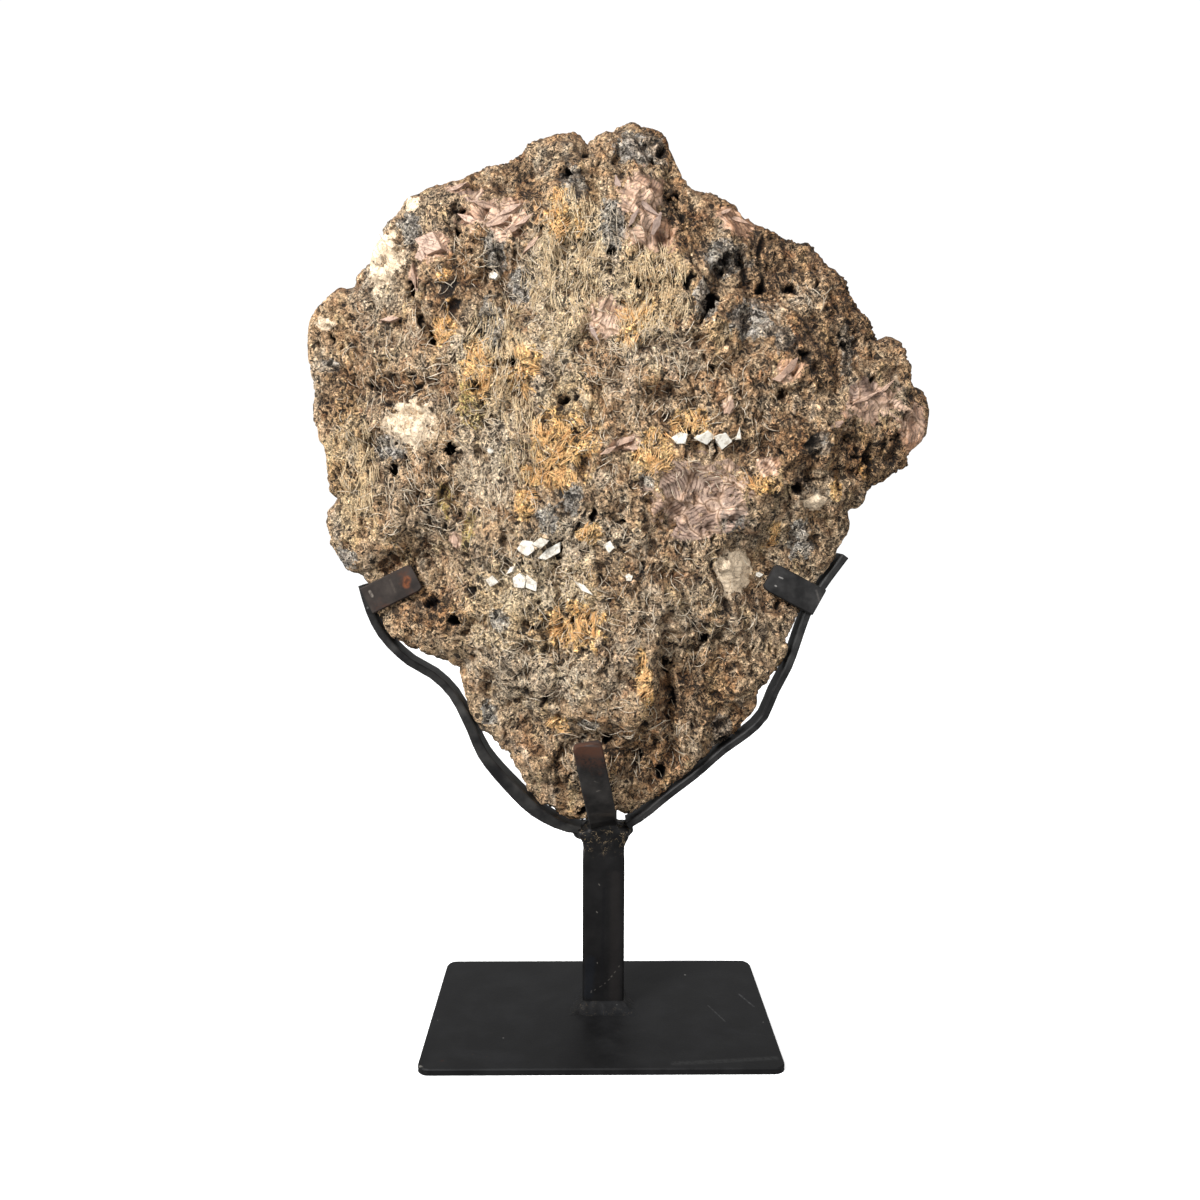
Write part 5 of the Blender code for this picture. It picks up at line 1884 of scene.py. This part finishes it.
    def centre_claw_finish(self) -> IronFinish:
        """The centre claw's iron: rust towards its free end, faint scratches below."""
        brown = (0.115, 0.048, 0.028, 1.0)
        scratch = (0.20, 0.18, 0.16, 1.0)
        strokes = (
            Stroke((-10.0, -22.5, 130.0), (0.0, -22.5, 128.8), 5.0, brown, 0.75, 0.30),
            Stroke((-10.0, -21.0, 126.0), (1.0, -21.0, 124.6), 7.0, (0.075, 0.034, 0.022, 1.0), 0.60, 0.85),
            Stroke((-12.0, -23.3, 132.2), (-1.0, -23.3, 130.6), 1.0, (0.10, 0.09, 0.085, 1.0), 0.7, 0.3),
            Stroke((-3.0, -17.0, 114.0), (2.0, -16.0, 111.5), 0.5, scratch, 0.5, 0.8),
            Stroke((-2.0, -14.5, 109.0), (1.5, -14.0, 110.5), 0.5, scratch, 0.5, 0.8),
            Stroke((-4.5, -7.0, 97.5), (4.5, -7.0, 96.5), 2.2, (0.062, 0.052, 0.044, 1.0), 0.7, 0.4),
            Stroke((-5.0, -4.0, 93.6), (5.5, -4.0, 93.0), 0.8, (0.008, 0.007, 0.007, 1.0), 0.8, 0.2),
        )
        return IronFinish("centre_claw_iron", worn=(0.050, 0.046, 0.043, 1.0), rust=0.06, specks=0.25,
                          strokes=strokes)

    def build_neck(self, effects: SharedEffects) -> bpy.types.Object:
        """Fuse the post's head, the arms and the centre claw in one smooth lump of weld.

        Args:
            effects: The shared node groups.

        Returns:
            The finished weld.
        """
        x, y = self.post_middle
        bpy.ops.object.select_all(action="DESELECT")
        bpy.ops.mesh.primitive_cube_add(size=1.0)
        block = bpy.context.object
        bpy.ops.object.mode_set(mode="EDIT")
        bpy.ops.mesh.subdivide(number_cuts=15)
        bpy.ops.object.mode_set(mode="OBJECT")
        for point in block.data.vertices:
            rise = self.neck_foot + (point.co.z + 0.5) * (self.neck_top - self.neck_foot)
            sides = self.neck_lefts if point.co.x < 0.0 else self.neck_rights
            across = 2.0 * float(np.interp(rise, self.neck_heights, sides)) * point.co.x
            deep = 2.0 * float(np.interp(rise, self.neck_heights, self.neck_depths)) * point.co.y
            point.co = Vector((x + across, y + deep, rise)) * MM
        lumps = [block]
        for place, radii in self.neck_lumps:
            bpy.ops.mesh.primitive_ico_sphere_add(subdivisions=4, radius=1.0)
            lump = bpy.context.object
            size = Matrix.Diagonal((*(radius * MM for radius in radii), 1.0))
            lump.data.transform(Matrix.Translation(Vector(place) * MM) @ size)
            lumps.append(lump)
        bpy.ops.object.select_all(action="DESELECT")
        for lump in lumps:
            lump.select_set(True)
        bpy.context.view_layer.objects.active = block
        bpy.ops.object.join()
        item = bpy.context.object
        item.name = "head_weld_bead"
        fuse = item.modifiers.new("fuse", "REMESH")
        fuse.mode = "VOXEL"
        fuse.voxel_size = 0.5 * MM
        bpy.ops.object.modifier_apply(modifier="fuse")
        bpy.ops.object.mode_set(mode="EDIT")
        bpy.ops.mesh.select_all(action="SELECT")
        bpy.ops.mesh.vertices_smooth(factor=0.5, repeat=16)
        bpy.ops.object.mode_set(mode="OBJECT")
        self.ripple(item, 0.35, self.neck_foot + 9.0)
        finish = IronFinish("head_weld_iron", black=self.post_black, worn=self.post_worn,
                            specular=self.post_shine, bump=0.00014, specks=0.3, flecks=1.0, fleck_foot=76.0)
        return self.finish_weld(item, "head_weld", finish, effects)

    def build_foot(self, effects: SharedEffects) -> bpy.types.Object:
        """Lay the weld round the post's foot, flaring out and thinning to nothing on the plate.

        Args:
            effects: The shared node groups.

        Returns:
            The finished weld.
        """
        x, y = self.post_middle
        bpy.ops.object.select_all(action="DESELECT")
        bpy.ops.mesh.primitive_grid_add(x_subdivisions=72, y_subdivisions=72, size=2 * self.foot_reach)
        item = bpy.context.object
        item.name = "base_weld_bead"
        flare = Grain(7.0, 4.0)
        places = np.array([point.co for point in item.data.vertices])
        gap = np.maximum(np.abs(places[:, 0]), np.abs(places[:, 1])) - self.post_half
        forward = np.clip((self.post_half - places[:, 1]) / (2.0 * self.post_half), 0.0, 1.0)
        spread = self.foot_leg * (0.30 + 0.70 * forward) * (1.0 + 0.22 * flare.over(places))
        share = np.clip(1.0 - gap / spread, 0.0, 1.0)
        rise = self.foot_height * (0.35 + 0.65 * forward) * share ** 1.7
        grain = 0.25 * Grain(2.4, 6.0).over(places) * np.minimum(1.0, 4.0 * share)
        rise = np.where(share > 0.0, rise + grain, -0.3)
        placed = np.column_stack([places[:, 0] + x, places[:, 1] + y, self.plate_top + rise])
        write_points(item.data, placed * MM)
        select_only(item)
        under = item.modifiers.new("under", "SOLIDIFY")
        under.thickness = 0.6 * MM
        under.offset = -1.0
        bpy.ops.object.modifier_apply(modifier="under")
        finish = IronFinish("base_weld_iron", worn=(0.0135, 0.0142, 0.0155, 1.0), specular=0.10, bump=0.0002,
                            specks=0.2, flecks=0.12)
        return self.finish_weld(item, "base_weld", finish, effects)

    def ripple(self, item: bpy.types.Object, amount: float, foot: float) -> None:
        """Give a weld the uneven skin of a cooled bead.

        Args:
            item: The weld.
            amount: How far the skin moves, in millimetres.
            foot: The height above which it is uneven, in millimetres.
        """
        places = read_points(item.data) / MM
        normals = read_points(item.data, "normal")
        lift = Grain(4.0, 2.0).over(places) + 0.5 * Grain(1.8, 6.0).over(places)
        lift -= np.abs(Grain(2.6, 4.0).over(places))
        lift *= amount * np.clip((places[:, 2] - foot) / 5.0, 0.0, 1.0)
        write_points(item.data, (places + normals * lift[:, None]) * MM)

    def finish_weld(self, item: bpy.types.Object, node: str, finish: IronFinish,
                    effects: SharedEffects) -> bpy.types.Object:
        """Dress a weld and put it in its CAD node's place.

        Args:
            item: The weld.
            node: The CAD node.
            finish: The weld's finish.
            effects: The shared node groups.

        Returns:
            The finished weld.
        """
        select_only(item)
        bpy.ops.object.mode_set(mode="EDIT")
        bpy.ops.mesh.select_all(action="SELECT")
        bpy.ops.mesh.normals_make_consistent(inside=False)
        bpy.ops.object.mode_set(mode="OBJECT")
        item.data.polygons.foreach_set("use_smooth", np.ones(len(item.data.polygons), dtype=bool))
        item.data.materials.clear()
        item.data.materials.append(finish.build(effects))
        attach(item, BODY)
        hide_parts(node)
        LOG.info("built %s with %d faces", item.name, len(item.data.polygons))
        return item


@dataclass
class Studio:
    """A pale floor, soft light and a camera that stands where the photograph was taken."""

    lens: float = 31.23
    camera_place: Point = (-0.0071, -0.4585, 0.2346)
    pitch: float = 5.38
    yaw: float = 0.8
    roll: float = 0.2
    floor_reach: float = 6.0
    floor_glow: float = 0.35
    room_light: float = 0.28
    ceiling_light: float = 0.9

    def build(self) -> None:
        """Set up everything that isn't the object."""
        self.lay_floor()
        self.hang_lights()
        self.place_camera()

    def lay_floor(self) -> None:
        """Lay a plain pale floor."""
        bpy.ops.object.select_all(action="DESELECT")
        bpy.ops.mesh.primitive_plane_add(size=2 * self.floor_reach, location=(0.0, 0.0, -0.0001))
        floor = bpy.context.object
        floor.name = "floor"
        material, pen, shader, _ = start_material("pale_floor")
        seen = pen.add("LightPath").outputs["Is Camera Ray"]
        shade = pen.mix(seen, (0.25, 0.25, 0.25, 1.0), (0.97, 0.97, 0.97, 1.0))
        pen.feed(shader.inputs["Base Color"], shade)
        shader.inputs["Roughness"].default_value = 0.9
        shader.inputs["Specular IOR Level"].default_value = 0.0
        shader.inputs["Emission Color"].default_value = (1.0, 1.0, 1.0, 1.0)
        pen.feed(shader.inputs["Emission Strength"], pen.times(seen, self.floor_glow))
        floor.data.materials.append(material)
        floor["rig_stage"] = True

    def hang_lights(self) -> None:
        """Hang three soft lights in a white room."""
        for name, place, size, power in (
            ("key", (-0.95, -1.05, 1.10), 0.5, 49.0),
            ("fill", (1.2, -1.3, 0.5), 1.2, 10.5),
            ("top", (-0.2, 0.3, 1.6), 1.2, 4.0),
        ):
            light = bpy.data.lights.new(name, "AREA")
            light.size = size
            light.energy = power
            item = bpy.data.objects.new(name, light)
            item.location = place
            aim = Vector((0.0, 0.0, 0.22)) - Vector(place)
            item.rotation_euler = aim.to_track_quat("-Z", "Y").to_euler()
            bpy.context.scene.collection.objects.link(item)
        world = bpy.data.worlds.new("white_room")
        world.use_nodes = True
        pen = Pen(world.node_tree)
        seen = pen.add("LightPath").outputs["Is Camera Ray"]
        up = pen.add("SeparateXYZ", {"Vector": pen.add("TexCoord").outputs["Generated"]}).outputs["Z"]
        ceiling = pen.math("MULTIPLY_ADD", pen.times(up, up), self.ceiling_light, self.room_light)
        strength = pen.add("Mix", {"Factor": seen, "A": ceiling, "B": 1.05}).outputs[0]
        pen.feed(world.node_tree.nodes["Background"].inputs["Strength"], strength)
        world.node_tree.nodes["Background"].inputs["Color"].default_value = (1.0, 1.0, 1.0, 1.0)
        bpy.context.scene.world = world
        bpy.context.scene.view_settings.view_transform = "Standard"

    def place_camera(self) -> None:
        """Stand the camera at the photograph's viewing angle."""
        data = bpy.data.cameras.new("camera")
        data.lens = self.lens
        data.sensor_width = 36.0
        data.clip_start = 0.01
        data.clip_end = 50.0
        camera = bpy.data.objects.new("camera", data)
        turn = Matrix.Rotation(math.radians(-self.yaw), 4, "Z")
        tip = Matrix.Rotation(math.radians(90.0 - self.pitch), 4, "X")
        lean = Matrix.Rotation(math.radians(self.roll), 4, "Z")
        camera.matrix_world = Matrix.Translation(self.camera_place) @ turn @ tip @ lean
        bpy.context.scene.collection.objects.link(camera)
        bpy.context.scene.camera = camera


def corners(box: tuple[Vector, Vector]) -> list[list[float]]:
    """Turn a box's two corners into plain lists of numbers."""
    return [[float(value) for value in corner] for corner in box]


def main() -> None:
    """Build the stone, its chips and the stand, and set them in the studio."""
    logging.basicConfig(level=logging.INFO, format="%(message)s")
    noise.seed_set(NOISE_SEED)
    effects = SharedEffects()
    stone = RoughStone().build(effects)
    LOG.info("built %s with %d faces", stone.name, len(stone.data.polygons))
    bed = Bed(stone)
    for chips in LOOSE_CHIPS:
        chips.build(bed, effects)
    for needles in LOOSE_NEEDLES:
        needles.build(bed, effects)
    stand = IronStand()
    stand.dress(effects)
    stand.build_neck(effects)
    stand.build_foot(effects)
    Studio().build()
    bpy.context.view_layer.update()
    {"cad": corners(CAD_BOX), "visual": corners(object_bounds())}


if __name__ == "__main__":
    main()
